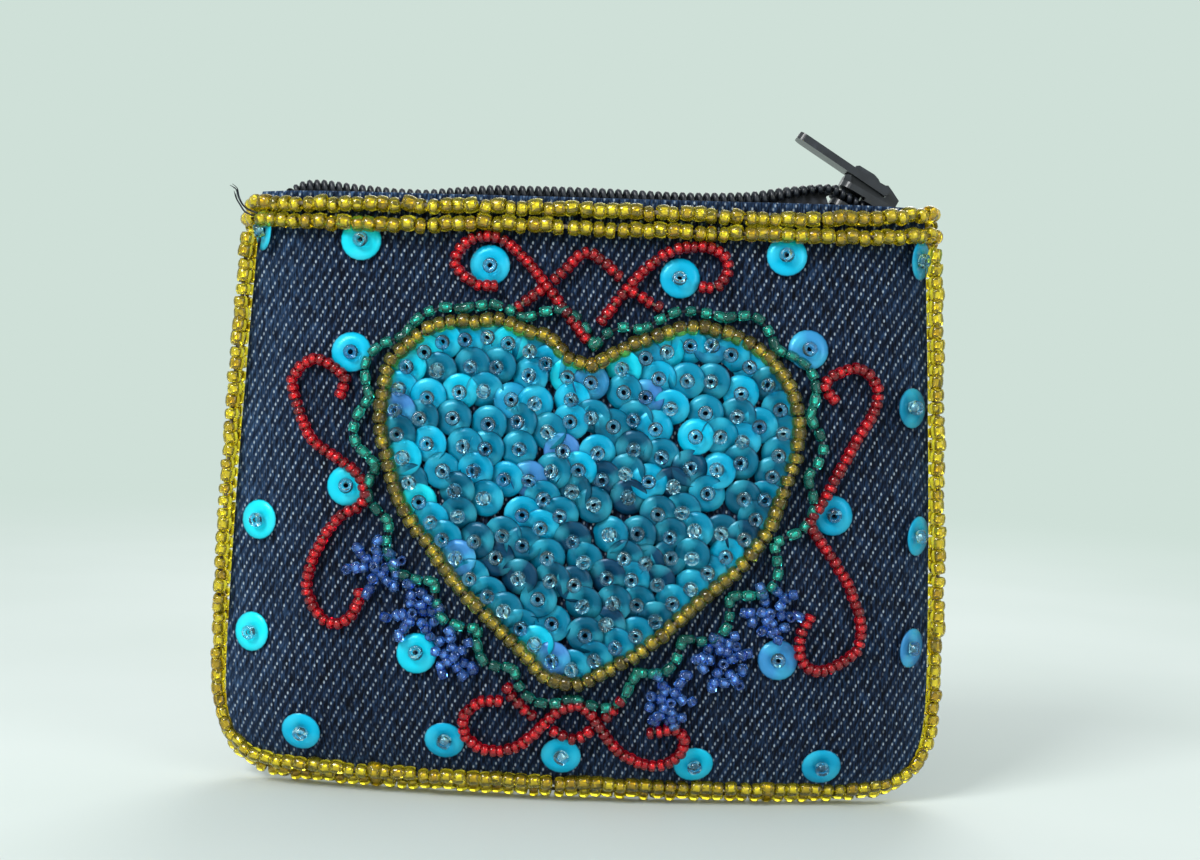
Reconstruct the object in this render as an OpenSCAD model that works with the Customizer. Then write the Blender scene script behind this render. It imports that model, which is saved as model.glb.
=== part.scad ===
// Beaded denim coin purse, standing on its seam with the zip open.
// Millimetres. X to the right, Y to the back, Z up.
// The origin is under the middle of the purse, where it stands.

/* [Purse] */
// Width of the denim at its widest, low down
purse_w = 107.4; // [90:0.2:125]
// Width of the denim at the mouth
mouth_w = 99.4; // [84:0.2:119]
// Height of the denim from the bottom seam to the mouth, at the middle
purse_h = 88; // [75:0.5:100]
// How much higher the mouth stands at the right than at the left
mouth_rise = 1; // [0:0.1:4]
// Half of the purse's thickness at the belly
belly_half = 8; // [6:0.1:11]
// How far in from the seam the belly is full
belly_reach = 24; // [16:0.5:34]
// How far the bottom seam bows out of line, so that the purse stands
seam_bow = 3; // [0:0.1:4]
// Half of the gap between the two panels inside the mouth
mouth_half_gap = 4.5; // [4.3:0.05:5.5]

/* [Cloth] */
// Thickness of the denim
denim_t = 1; // [0.7:0.05:1.3]
// Thickness of the lining
lining_t = 0.35; // [0.2:0.05:0.6]
// Gap left between one layer and the next
layer_gap = 0.05; // [0.03:0.01:0.1]

/* [Beads] */
// Diameter of the yellow seam beads
seam_bead_od = 2.3; // [1.8:0.05:2.8]
// Length of the yellow seam beads
seam_bead_len = 1.6; // [1.2:0.05:1.7]
// Spacing of the yellow seam beads
seam_bead_pitch = 1.82; // [1.8:0.01:2.4]
// Diameter of the gold beads round the heart
heart_bead_od = 2.4; // [1.8:0.05:2.6]
// Length of the gold beads round the heart
heart_bead_len = 1.45; // [1.1:0.05:1.55]
// Spacing of the gold beads round the heart
heart_bead_pitch = 1.72; // [1.7:0.01:2.4]
// Diameter of the green scallop beads
scallop_bead_od = 1.6; // [1.2:0.05:1.8]
// Length of the green scallop beads
scallop_bead_len = 1.6; // [1.1:0.05:1.65]
// Spacing of the green scallop beads
scallop_bead_pitch = 1.95; // [1.9:0.01:2.4]
// Diameter of the red scroll beads
scroll_bead_od = 1.8; // [1.4:0.05:2]
// Length of the red scroll beads
scroll_bead_len = 0.95; // [0.7:0.05:1]
// Spacing of the red scroll beads
scroll_bead_pitch = 1.25; // [1.2:0.01:1.8]
// Diameter of the blue flower beads
flower_bead_od = 1.5; // [1.2:0.05:1.6]
// Length of the blue flower beads
flower_bead_len = 1.35; // [1:0.05:1.4]
// Hole through every bead, as a share of its diameter
bead_hole_share = 0.36; // [0.25:0.01:0.5]

/* [Sequins] */
// Diameter of a sequin
sequin_d = 6; // [5:0.1:6.2]
// Thickness of a sequin
sequin_t = 0.1; // [0.08:0.01:0.14]
// Hole in a sequin
sequin_hole = 1; // [0.8:0.05:1.2]
// Diameter of the bead that holds a sequin down
stop_bead_od = 2.1; // [1.6:0.05:2.2]
// Length of the bead that holds a sequin down
stop_bead_len = 1.5; // [1.1:0.05:1.8]

/* [Zip] */
// Width of one row of the coil, root to head
coil_w = 2.3; // [1.9:0.05:2.5]
// Thickness of one row of the coil
coil_t = 1.65; // [1.5:0.05:1.75]
// Thickness of the coil's wire
coil_wire = 0.55; // [0.45:0.05:0.6]
// Turns in one row of the coil
coil_turns = 42; // [30:1:45]
// Thickness of the zip tape
tape_t = 0.4; // [0.3:0.05:0.5]
// How far the tape reaches down inside the mouth
tape_reach = 7.5; // [5:0.5:10]

/* [Slider] */
// Length of the slider from nose to tail
slider_l = 9.3; // [8:0.1:10]
// Width of the slider across its nose
slider_nose_w = 7.2; // [6.8:0.1:7.6]
// Width of the slider across its tail
slider_tail_w = 5.3; // [5:0.1:5.4]
// Thickness of each of the slider's plates
slider_plate_t = 0.9; // [0.7:0.05:1]
// Height of the channel between the plates
slider_channel_h = 2.1; // [2:0.05:2.3]
// Lean of the slider, tail down
slider_lean = 27; // [20:1:30]
// Place of the slider's middle along the mouth, as a share of half the mouth
slider_place_share = 0.814; // [0.79:0.002:0.82]
// Height of the slider's middle over the mouth line
slider_over_mouth = 0.1; // [0:0.02:1.2]
// Reach of the pull tab from its pin to its tip
tab_reach = 15.5; // [12:0.1:18]
// Width of the pull tab
tab_w = 4.6; // [4.2:0.1:5]
// Thickness of the pull tab
tab_t = 1.1; // [0.8:0.05:1.2]
// Angle of the pull tab over the slider's plate
tab_lift = 4.8; // [4:0.2:8]

/* [Hidden] */

denim_blue = "#26354f";
lining_grey = "#2b2f38";
seam_yellow = "#d9b90e";
heart_gold = "#a68a1c";
scallop_green = "#0f6a58";
scroll_red = "#b01024";
flower_blue = "#2a48a8";
sequin_cyan = "#22b4dc";
stop_aqua = "#2f9fc4";
zip_black = "#1b1d22";
slider_black = "#23252b";

// Fine clearances
bead_seat = 0.32;
seam_bead_seat = 0.06;
sequin_seat = 0.14;
stop_seat = 0.05;
coil_gap = 0.1;
overrun = 1;

// The panel
seam_half = denim_t + lining_t + layer_gap + layer_gap/2;
seam_z = seam_bead_od + seam_bead_seat;
mouth_z = seam_z + purse_h;
corner_power = 5.6;
belly_power = 2.5;
mouth_power = 10;
widest_share = 0.16;
taper_power = 1.3;
narrowing_share = 0.55;
bow_power = 1.5;
panel_cols = 28;
panel_rows = 13;
lining_cols = 20;
lining_rows = 8;
lining_top = tape_reach + tape_t;

// Half of the denim's width at a height
function half_w(z) =
  let (
    low = seam_z + purse_h*widest_share,
    t = min(1, max(0, (z - low)/(mouth_z - low)))
  )
  purse_w/2 - (purse_w - mouth_w)/2*pow(t, taper_power);

// Height of the mouth line
function mouth_line(x) = mouth_z + mouth_rise*x/mouth_w;

// How far out to the seam a place on the panel is, from 0 to 1
function outness(x, z) =
  let (
    a = min(1, max(0, 1 - (half_w(z) - abs(x))/belly_reach)),
    b = min(1, max(0, 1 - (z - seam_z)/belly_reach))
  )
  min(1, pow(pow(a, corner_power) + pow(b, corner_power), 1/corner_power));

// Height of the bottom seam under a place across the panel
function seam_low(x) =
  let (a = min(1, max(0, 1 - (purse_w/2 - abs(x))/belly_reach)))
  seam_z + belly_reach*(1 - pow(max(0, 1 - pow(a, corner_power)), 1/corner_power));

// Half of the purse's thickness, to the outside of the denim
function half_thick(x, z) =
  let (
    body = seam_half + (belly_half - seam_half)*(1 - pow(outness(x, z), belly_power)),
    across = min(1, abs(x)/half_w(z)),
    lips = seam_half + (mouth_half_gap + denim_t - seam_half)*(1 - pow(across, mouth_power)),
    start = seam_z + purse_h*narrowing_share,
    t = min(1, max(0, (z - start)/(mouth_z - start))),
    ease = t*t*(3 - 2*t)
  )
  body*(1 - ease) + lips*ease;

// The middle surface bows at the foot and runs straight at the mouth
function bow(x, z) =
  let (across = 2*x/purse_w)
  seam_bow*(2*across*across - 1)*pow(max(0, min(1, 1 - (z - seam_z)/purse_h)), bow_power);

// A point on the panel, depth mm under its outside, side -1 in front and 1 behind
function on_panel(x, z, side, depth) = [x, bow(x, z) + side*(half_thick(x, z) - depth), z];

step_share = 0.001;
probe = purse_w*step_share;

// The outward normal there
function panel_normal(x, z, side) =
  let (
    dx = on_panel(x + probe, z, side, 0) - on_panel(x - probe, z, side, 0),
    dz = on_panel(x, z + probe, side, 0) - on_panel(x, z - probe, side, 0),
    n = cross(dx, dz)
  )
  n/norm(n)*(n.y*side > 0 ? 1 : -1);

// One layer of a panel, from depth outer to depth inner, stopping below the mouth by drop
module panel_layer(side, outer, inner, drop, cols, rows) {
  grid = [
    for (depth = [outer, inner], j = [0:rows], i = [0:cols])
      let (
        s = sin(90*(2*i/cols - 1)),
        foot = seam_low(s*purse_w/2),
        top = mouth_line(s*mouth_w/2) - drop,
        v = (j/rows + 1 - cos(90*j/rows))/2,
        z = foot + (top - foot)*v
      )
      on_panel(s*half_w(z), z, side, depth)
  ];
  n = (cols + 1)*(rows + 1);
  w = cols + 1;
  skins = [
    for (k = [0, 1], j = [0:rows - 1], i = [0:cols - 1])
      let (a = k*n + j*w + i, b = a + 1, c = a + w, d = c + 1)
      each (k == 0 ? [[a, b, d], [a, d, c]] : [[a, d, b], [a, c, d]])
  ];
  ends = [
    for (i = [0:cols - 1])
      each [[i, n + i, n + i + 1], [i, n + i + 1, i + 1]]
  ];
  tops = [
    for (i = [0:cols - 1])
      let (a = rows*w + i)
      each [[a, a + 1, n + a + 1], [a, n + a + 1, n + a]]
  ];
  lefts = [
    for (j = [0:rows - 1])
      let (a = j*w)
      each [[a, a + w, n + a + w], [a, n + a + w, n + a]]
  ];
  rights = [
    for (j = [0:rows - 1])
      let (a = j*w + cols)
      each [[a, n + a + w, a + w], [a, n + a, n + a + w]]
  ];
  faces = concat(skins, ends, tops, lefts, rights);
  polyhedron(grid, side < 0 ? [for (f = faces) [f[2], f[1], f[0]]] : faces);
}

module front_panel() {
  color(denim_blue) panel_layer(-1, 0, denim_t, 0, panel_cols, panel_rows);
}

module back_panel() {
  color(denim_blue) panel_layer(1, 0, denim_t, 0, panel_cols, panel_rows);
}

module lining(side) {
  outer = denim_t + layer_gap;
  color(lining_grey)
    panel_layer(side, outer, outer + lining_t, lining_top, lining_cols, lining_rows);
}

// A seed bead, its hole along Z, its edges cut back by a share of its diameter
bead_soft_share = 0.16;
module bead(od, length) {
  soft = od*bead_soft_share;
  hole = od*bead_hole_share/2;
  rotate_extrude($fn = 24)
    polygon([
      [hole, -length/2], [od/2 - soft, -length/2], [od/2, -length/2 + soft],
      [od/2, length/2 - soft], [od/2 - soft, length/2], [hole, length/2]
    ]);
}

// Turn Z to a direction and move to a point
module aim(at, dir) {
  flat = norm([dir.x, dir.y]);
  translate(at) rotate([0, atan2(flat, dir.z), atan2(dir.y, dir.x)]) children();
}

// Running lengths along a list of points
function sums(p) = [
  for (i = 0, s = 0; i < len(p); i = i + 1, s = s + (i < len(p) ? norm(p[i] - p[i - 1]) : 0)) s
];

// The point at a distance along a list of points
function along(p, s, d) =
  let (
    i = max([0, for (k = [0:len(s) - 2]) if (s[k] <= d) k]),
    t = min(1, (d - s[i])/(s[i + 1] - s[i]))
  )
  p[i] + (p[i + 1] - p[i])*t;

// A smooth curve through points, open or closed
curve_steps = 4;
function smooth(p, closed = false) =
  let (n = len(p), last = closed ? n - 1 : n - 2)
  [
    for (i = [0:last], k = [0:curve_steps - 1])
      let (
        t = k/curve_steps,
        a = closed ? p[(i + n - 1)%n] : p[max(0, i - 1)],
        b = p[i],
        c = p[(i + 1)%n],
        d = closed ? p[(i + 2)%n] : p[min(n - 1, i + 2)]
      )
      (2*b + (c - a)*t + (2*a - 5*b + 4*c - d)*t*t + (3*b - a - 3*c + d)*t*t*t)/2,
    closed ? p[0] : p[n - 1]
  ];

// Places read from the photograph, in its own pixels
photo_turn_px = [578, 430];
photo_roll = 2.25;
photo_mid_px = 584;
photo_seam_px = 792;
photo_half_px = 361;
photo_h_px = 593;
function place(p) =
  let (q = p - photo_turn_px, t = tan(photo_roll))
  [
    (p.x + q.y*t - photo_mid_px)/photo_half_px*purse_w/2,
    seam_z + (photo_seam_px - p.y + q.x*t)/photo_h_px*purse_h
  ];
function places(list) = [for (p = list) place(p)];

// Distance from a place to a line of places
function room_to(p, line) = min([
  for (i = [0:len(line) - 2])
    let (
      a = line[i], b = line[i + 1],
      t = min(1, max(0, (p - a)*(b - a)/((b - a)*(b - a))))
    )
    norm(p - a - (b - a)*t)
]);
function room_to_all(p, lines) = min([for (line = lines) room_to(p, line)]);

// Beads threaded along a line of points through their middles. A bead that comes closer than
// room to one of the other lines, given as places on the panel, is left out.
module bead_row(line, od, length, pitch, spare = 0, others = [], room = 0) {
  s = sums(line);
  whole = s[len(s) - 1] - 2*spare;
  n = max(1, floor(whole/pitch));
  for (k = [0:n - 1]) {
    d = spare + whole*(k + 1/2)/n;
    a = along(line, s, max(0, d - length/2));
    b = along(line, s, d + length/2);
    at = along(line, s, d);
    if (len(others) == 0 || room_to_all([at.x, at.z], others) > room)
      aim(at, b - a) bead(od, length);
  }
}

// The line of bead middles over a panel, for a list of places on it
function over_panel(path, side, od) = [
  for (p = path) on_panel(p.x, p.y, side, 0) + panel_normal(p.x, p.y, side)*(bead_seat + od/2)
];

// The seam, from the mouth down one side and round the corner to the bottom
outline_steps = 40;
seam_top = 7.3;
function seam_side(sgn) =
  let (
    knee = seam_z + belly_reach,
    top = mouth_line(sgn*mouth_w/2) - seam_top
  )
  concat(
    [for (k = [0:outline_steps - 1]) let (z = top + (knee - top)*k/outline_steps) [sgn*half_w(z), z]],
    [
      for (k = [0:outline_steps])
        let (
          turn = 90*k/outline_steps,
          z = seam_z + belly_reach*(1 - pow(sin(turn), 2/corner_power))
        )
        [sgn*(half_w(z) - belly_reach*(1 - pow(cos(turn), 2/corner_power))), z]
    ]
  );

function seam_bottom() =
  let (end = purse_w/2 - belly_reach)
  [for (k = [0:outline_steps]) [-end + 2*end*k/outline_steps, seam_z]];

// The line of bead middles along the seam, on the side of one panel
function over_seam(path, side) = [
  for (i = [0:len(path) - 1])
    let (
      t = path[min(len(path) - 1, i + 1)] - path[max(0, i - 1)],
      n = [-t.y, t.x]/norm(t),
      out = n*(n*(path[i] - [0, purse_h/2]) > 0 ? 1 : -1),
      p = path[i] + out*(seam_bead_od/2 + seam_bead_seat)
    )
    [p.x, bow(path[i].x, path[i].y) + side*(seam_bead_od/2 + layer_gap), p.y]
];

module seam_row(path, side) {
  bead_row(over_seam(path, side), seam_bead_od, seam_bead_len, seam_bead_pitch);
}

module seam_beads(path) {
  color(seam_yellow) {
    seam_row(path, -1);
    seam_row(path, 1);
  }
}

// The two rows of beads along each side of the mouth, and how far each one's middle is below
// the denim's edge, as shares of a bead's diameter
mouth_drop_shares = [0.95, 2.13];
mouth_row_end = 1.2;
module mouth_beads(side, row) {
  end = mouth_w/2 - mouth_row_end;
  path = [
    for (k = [0:2*outline_steps])
      let (x = end*sin(90*(k/outline_steps - 1)))
      [x, mouth_line(x) - seam_bead_od*mouth_drop_shares[row]]
  ];
  // round the corner, where the row meets the one on the other panel
  r = seam_bead_od/2 + bead_seat + layer_gap;
  left = [
    for (q = [[r, seam_bead_od/2 + layer_gap], [r/sqrt(2), seam_half + r/sqrt(2)]])
      [-half_w(path[0].y) - q.x, side*q.y, path[0].y]
  ];
  right = [
    for (q = [[r/sqrt(2), seam_half + r/sqrt(2)], [r, seam_bead_od/2 + layer_gap]])
      [half_w(path[2*outline_steps].y) + q.x, side*q.y, path[2*outline_steps].y]
  ];
  color(seam_yellow)
    bead_row(concat(left, over_panel(path, side, seam_bead_od), right), seam_bead_od,
      seam_bead_len, seam_bead_pitch);
}

// A place on the front, brought down until a thing with that reach clears the mouth's beads
function under_mouth(p, reach) =
  let (foot = mouth_line(p.x) - seam_bead_od*(mouth_drop_shares[1] + 1/2))
  [p.x, min(p.y, foot - reach - 3*layer_gap)];

// The heart, anticlockwise from its notch
heart_px = [
  [592, 367], [566, 358], [549, 339], [522, 332], [501, 320], [479, 324], [453, 323], [427, 331],
  [406, 348], [389, 366], [383, 398], [382, 432], [392, 476], [405, 512], [429, 544], [457, 584],
  [490, 619], [522, 651], [548, 677], [578, 682], [611, 667], [652, 643], [694, 606], [736, 571],
  [768, 530], [786, 484], [797, 446], [796, 408], [780, 373], [750, 346], [722, 334], [693, 329],
  [664, 336], [635, 346], [609, 359]
];
heart_path = smooth(places(heart_px), true);

module heart_outline_beads() {
  color(heart_gold)
    bead_row(over_panel(heart_path, -1, heart_bead_od), heart_bead_od, heart_bead_len,
      heart_bead_pitch);
}

// The scallops round the heart: where they meet, and how far each one stands out
scallop_px = [
  [594, 348], [526, 319], [464, 310], [406, 336], [370, 398], [377, 465], [389, 521],
  [436, 583], [477, 628], [513, 668], [573, 697], [636, 672], [681, 640], [729, 597], [774, 543],
  [807, 478], [809, 420], [775, 350], [725, 320], [643, 331]
];
scallop_rise_shares = [
  0.3, 0.13, 0.2, 0.3, 0.3, 0.26, 0.32, 0.32, 0.32, 0.3, 0.33, 0.3, 0.36, 0.38, 0.3, 0.24, 0.28,
  0.3, 0.16, 0.2
];
scallop_steps = 8;
cusp_gap = 0.45;
function scallop(i) =
  let (
    a = place(scallop_px[i]),
    b = place(scallop_px[(i + 1)%len(scallop_px)]),
    out = [b.y - a.y, a.x - b.x]*scallop_rise_shares[i]
  )
  [for (k = [0:scallop_steps]) let (t = k/scallop_steps) a + (b - a)*t + out*sin(180*t)];

scallop_lines = [for (i = [0:len(scallop_px) - 1]) scallop(i)];
scallop_room = (scallop_bead_od + heart_bead_od)/2 + 5*layer_gap;

module scallop_beads() {
  color(scallop_green)
    for (line = scallop_lines)
      bead_row(over_panel(line, -1, scallop_bead_od), scallop_bead_od, scallop_bead_len,
        scallop_bead_pitch, cusp_gap, [heart_path], scallop_room);
}

// The red scrolls, each a list of threads
scroll_left_px = [[
  [341, 395], [346, 379], [335, 368], [318, 359], [303, 366], [293, 384], [300, 410], [311, 438],
  [332, 454], [354, 470], [364, 486], [362, 503], [338, 519], [319, 546], [309, 571], [308, 597],
  [322, 620], [342, 624], [357, 606], [358, 594]
]];
scroll_right_px = [[
  [833, 401], [823, 388], [835, 376], [858, 370], [875, 389], [872, 413], [856, 440], [838, 473],
  [820, 506], [809, 525], [826, 552], [846, 586], [858, 622], [857, 650], [838, 667], [812, 673],
  [799, 655], [802, 632], [809, 619]
]];
scroll_top_left_px = [[
  [495, 287], [474, 284], [456, 266], [461, 248], [480, 237], [504, 241], [527, 262], [547, 287],
  [566, 314], [586, 340]
]];
scroll_top_right_px = [[
  [702, 288], [718, 287], [728, 271], [720, 254], [696, 248], [668, 254], [642, 274], [621, 297],
  [602, 322]
]];
scroll_top_peak_px = [
  [[519, 307], [540, 292]], [[555, 280], [569, 267], [586, 253], [604, 264], [619, 277]],
  [[634, 294], [658, 308]]
];
scroll_bottom_long_px = [[
  [498, 701], [480, 701], [463, 717], [467, 738], [488, 750], [511, 747], [533, 734], [549, 717],
  [567, 706], [584, 707], [600, 728], [621, 753], [644, 764], [668, 763], [683, 746], [676, 730],
  [650, 732]
]];
scroll_bottom_cross_px = [
  [[507, 688], [519, 704], [532, 714]], [[554, 730], [572, 738], [588, 731]],
  [[606, 716], [620, 701]]
];

scroll_room = (scroll_bead_od + scallop_bead_od)/2 + 5*layer_gap;
function scroll_line(thread) =
  [for (p = smooth(places(thread))) under_mouth(p, scroll_bead_od/2)];

module scroll(threads) {
  color(scroll_red)
    for (t = threads)
      bead_row(over_panel(scroll_line(t), -1, scroll_bead_od), scroll_bead_od, scroll_bead_len,
        scroll_bead_pitch, 0, scallop_lines, scroll_room);
}

// A bead or sequin laid on the front at a place, its axis standing off the cloth
module stand_on_front(p, lift, lean = [0, 0]) {
  n = panel_normal(p.x, p.y, -1);
  aim(on_panel(p.x, p.y, -1, 0) + n*lift, n + [lean.x, 0, lean.y]) children();
}

// A blue flower: a bead at the centre, petals of two beads, and a bead between each. Beads that
// would touch the scallops or the scrolls are left out.
flower_petals = 5;
flower_gap = 0.08;
flower_room = (flower_bead_od + scroll_bead_od)/2 + 2*layer_gap;
flower_lines = concat(scallop_lines, [
  for (t = concat(scroll_left_px, scroll_right_px, scroll_bottom_long_px, scroll_bottom_cross_px))
    scroll_line(t)
]);
module flower(px) {
  c = place(px);
  pull = flower_bead_len + flower_gap;
  inner = flower_bead_od/2/tan(180/flower_petals) + pull/2;
  lift = bead_seat + flower_bead_od/2;
  color(flower_blue) {
    stand_on_front(c, bead_seat + flower_bead_len/2) bead(flower_bead_od, flower_bead_len);
    for (k = [0:2*flower_petals - 1], r = k%2 == 0 ? [inner, inner + pull] : [inner + pull]) {
      dir = [cos(180*k/flower_petals), sin(180*k/flower_petals)];
      p = c + dir*r;
      n = panel_normal(p.x, p.y, -1);
      flat = [dir.x, 0, dir.y];
      if (room_to_all(p, flower_lines) > flower_room)
        aim(on_panel(p.x, p.y, -1, 0) + n*lift, flat - n*(flat*n))
          bead(flower_bead_od, flower_bead_len);
    }
  }
}
flower_px = [[369, 569], [412, 614], [454, 658], [769, 614], [722, 663], [670, 701]];

module sequin() {
  rotate_extrude($fn = 40)
    translate([sequin_hole/2, 0]) square([(sequin_d - sequin_hole)/2, sequin_t]);
}

module stop_bead() {
  translate([0, 0, sequin_t + stop_seat + stop_bead_len/2]) bead(stop_bead_od, stop_bead_len);
}

// Sequins fill the heart in rows, each one leaning on the next like a scale
scale_step = (sequin_d + stop_bead_od)/2 + 2*layer_gap;
scale_pitch = scale_step + 2*layer_gap;
scale_lean = [-0.057, -0.115];
scale_tuck = 0.1;
scale_inset = (sequin_d + heart_bead_od)/2 - scale_tuck;
scale_lift = sequin_seat + sequin_d/2*norm(scale_lean);
heart_coarse = places(heart_px);

// Whether a place is inside the heart and clear of its outline
function inside(p, list) =
  let (
    n = len(list),
    hits = [
      for (i = [0:n - 1])
        let (a = list[i], b = list[(i + 1)%n])
        if ((a.y > p.y) != (b.y > p.y) && p.x < a.x + (b.x - a.x)*(p.y - a.y)/(b.y - a.y)) i
    ]
  )
  len(hits)%2 == 1;
function clear_of(p, list, room) = room_to(p, concat(list, [list[0]])) >= room;

// Rows of places in the heart
heart_rows = floor(purse_h/scale_step);
heart_probe = sequin_d/8;
heart_probes = floor(purse_w/2/heart_probe);
function heart_row(z) = [
  for (k = [-heart_probes:heart_probes])
    let (p = [k*heart_probe, z])
    if (inside(p, heart_coarse) && clear_of(p, heart_coarse, scale_inset)) p.x
];
// The stretches of a row without a gap, each as its two ends
function stretches(xs) =
  len(xs) == 0 ? [] :
  let (
    breaks = [for (i = [1:1:len(xs) - 1]) if (xs[i] - xs[i - 1] > 1.5*heart_probe) i],
    starts = concat([0], breaks),
    ends = concat([for (b = breaks) b - 1], [len(xs) - 1])
  )
  [for (i = [0:len(starts) - 1]) [xs[starts[i]], xs[ends[i]]]];
heart_spots = [
  for (r = [0:heart_rows])
    let (z = seam_z + scale_step*(r + 1/2))
    for (s = stretches(heart_row(z)))
      let (n = floor((s[1] - s[0])/scale_pitch))
      for (k = [0:n])
        [n == 0 ? (s[0] + s[1])/2 : s[0] + (s[1] - s[0])*k/n, z]
];

module heart_sequins() {
  color(sequin_cyan)
    for (p = heart_spots) stand_on_front(p, scale_lift, scale_lean) sequin();
}

module heart_sequin_beads() {
  color(stop_aqua)
    for (p = heart_spots) stand_on_front(p, scale_lift, scale_lean) stop_bead();
}

// The loose sequins over the denim
loose_px = [
  [253, 230], [361, 240], [490, 265], [680, 279], [787, 257], [931, 262], [351, 352], [808, 351],
  [912, 410], [346, 486], [256, 522], [833, 517], [919, 540], [246, 637], [416, 654], [778, 662],
  [914, 655], [296, 736], [443, 742], [560, 757], [693, 767], [823, 772]
];
loose_margin = sequin_d/2 + bead_seat;
loose_spots = [
  for (q = loose_px)
    let (p = under_mouth(place(q), sequin_d/2), room = half_w(p.y) - loose_margin)
    [max(-room, min(room, p.x)), max(seam_z + loose_margin, p.y)]
];

module loose_sequins() {
  color(sequin_cyan) for (p = loose_spots) stand_on_front(p, sequin_seat) sequin();
}

module loose_sequin_beads() {
  color(stop_aqua) for (p = loose_spots) stand_on_front(p, sequin_seat) stop_bead();
}

// The slider's middle and its two ends
slider_x = slider_place_share*mouth_w/2;
slider_z = mouth_line(slider_x) + slider_over_mouth;
slider_body_h = slider_channel_h + 2*slider_plate_t;
nose_x = slider_x - slider_l/2*cos(slider_lean);
tail_x = slider_x + slider_l/2*cos(slider_lean);

// The coil: where it runs along the mouth, as shares of half the mouth, and how high its
// heads stand over the mouth line, as shares of the coil's width
coil_rise_shares = [
  [-0.9, 0.05], [-0.87, 0.36], [-0.82, 0.5], [-0.73, 0.25], [-0.6, 0.06], [-0.5, 0.06],
  [-0.39, 0.38], [-0.3, 0.58], [-0.1, 0.6], [0.05, 0.55], [0.2, 0.44], [0.3, 0.42], [0.4, 0.5],
  [0.5, 0.66], [0.6, 0.84], [0.68, 1.02]
];
coil_left = coil_rise_shares[0][0]*mouth_w/2;
coil_right = tail_x - coil_wire;
twist_share = 0.14;
coil_rest = coil_t/2 + layer_gap + tape_t + coil_gap;
coil_join = (coil_w + coil_gap)/2;
coil_spread = (coil_w + slider_nose_w - slider_tail_w)/2 + coil_gap;
coil_splay_share = 0.28;

// How far the coil has turned over to lie flat in the slider, from 0 to 1
function laid(x) =
  let (long = twist_share*mouth_w, t = min(1, max(0, (x - nose_x + long)/(long - coil_wire))))
  t*t*(3 - 2*t);
function coil_middle_z(x) =
  let (
    free = mouth_line(x) + lookup(2*x/mouth_w, coil_rise_shares)*coil_w - coil_w/2,
    held = slider_z - (max(x, nose_x - coil_wire) - slider_x)*tan(slider_lean),
    t = laid(x)
  )
  free*(1 - t) + held*t;
function lip_gap(x) = half_thick(x, mouth_line(x)) - denim_t;
// Distance of the coil's middle from the middle of the mouth
function coil_middle_y(x) =
  let (
    open = min(lip_gap(x) - coil_gap - coil_t/2, coil_rest + (x - coil_left)*coil_splay_share),
    t = laid(x),
    u = min(1, max(0, (x - nose_x)/(tail_x - nose_x)*2)),
    held = coil_spread + (coil_join - coil_spread)*u
  )
  open*(1 - t) + held*t;
function coil_middle(x, side) = [x, side*coil_middle_y(x), coil_middle_z(x)];

coil_rings = 8;
wire_sides = 6;
coil_count = coil_turns*coil_rings;
function coil_point(k, side) =
  let (
    x = coil_left + (coil_right - coil_left)*k/coil_count,
    turn = 360*k/coil_rings,
    t = 90*laid(x),
    lean = slider_lean*laid(x),
    up = [sin(lean), 0, cos(lean)],
    heads = up*cos(t) + [0, -side*sin(t), 0],
    thick = up*sin(t) + [0, side*cos(t), 0]
  )
  coil_middle(x, side) + heads*(coil_w - coil_wire)/2*cos(turn)
    + thick*(coil_t - coil_wire)/2*sin(turn);

// A tube through a list of points
module tube(points, middles, r, sides) {
  n = len(points);
  rings = [
    for (i = [0:n - 1])
      let (
        t = points[min(n - 1, i + 1)] - points[max(0, i - 1)],
        a = points[i] - middles[i],
        u = a - t*(a*t)/(t*t),
        e = u/norm(u),
        f = cross(t, e)/norm(t)
      )
      for (k = [0:sides - 1])
        points[i] + (e*cos(360*k/sides) + f*sin(360*k/sides))*r
  ];
  walls = [
    for (i = [0:n - 2], k = [0:sides - 1])
      let (a = i*sides + k, b = i*sides + (k + 1)%sides)
      each [[a, b + sides, b], [a, a + sides, b + sides]]
  ];
  polyhedron(rings, concat([[for (k = [0:sides - 1]) k]],
    walls, [[for (k = [sides - 1:-1:0]) (n - 1)*sides + k]]));
}

module zip_coil(side) {
  points = [for (k = [0:coil_count]) coil_point(k, side)];
  middles = [
    for (k = [0:coil_count])
      coil_middle(coil_left + (coil_right - coil_left)*k/coil_count, side)
  ];
  near = min([
    for (i = [0:2:coil_count], j = [i + 3:i + 3*coil_rings])
      if (j <= coil_count) norm(points[i] - points[j])
  ]);
  echo(str("least gap between turns of the coil: ", near - coil_wire, " mm"));
  color(zip_black) tube(points, middles, coil_wire/2, wire_sides);
}

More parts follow.
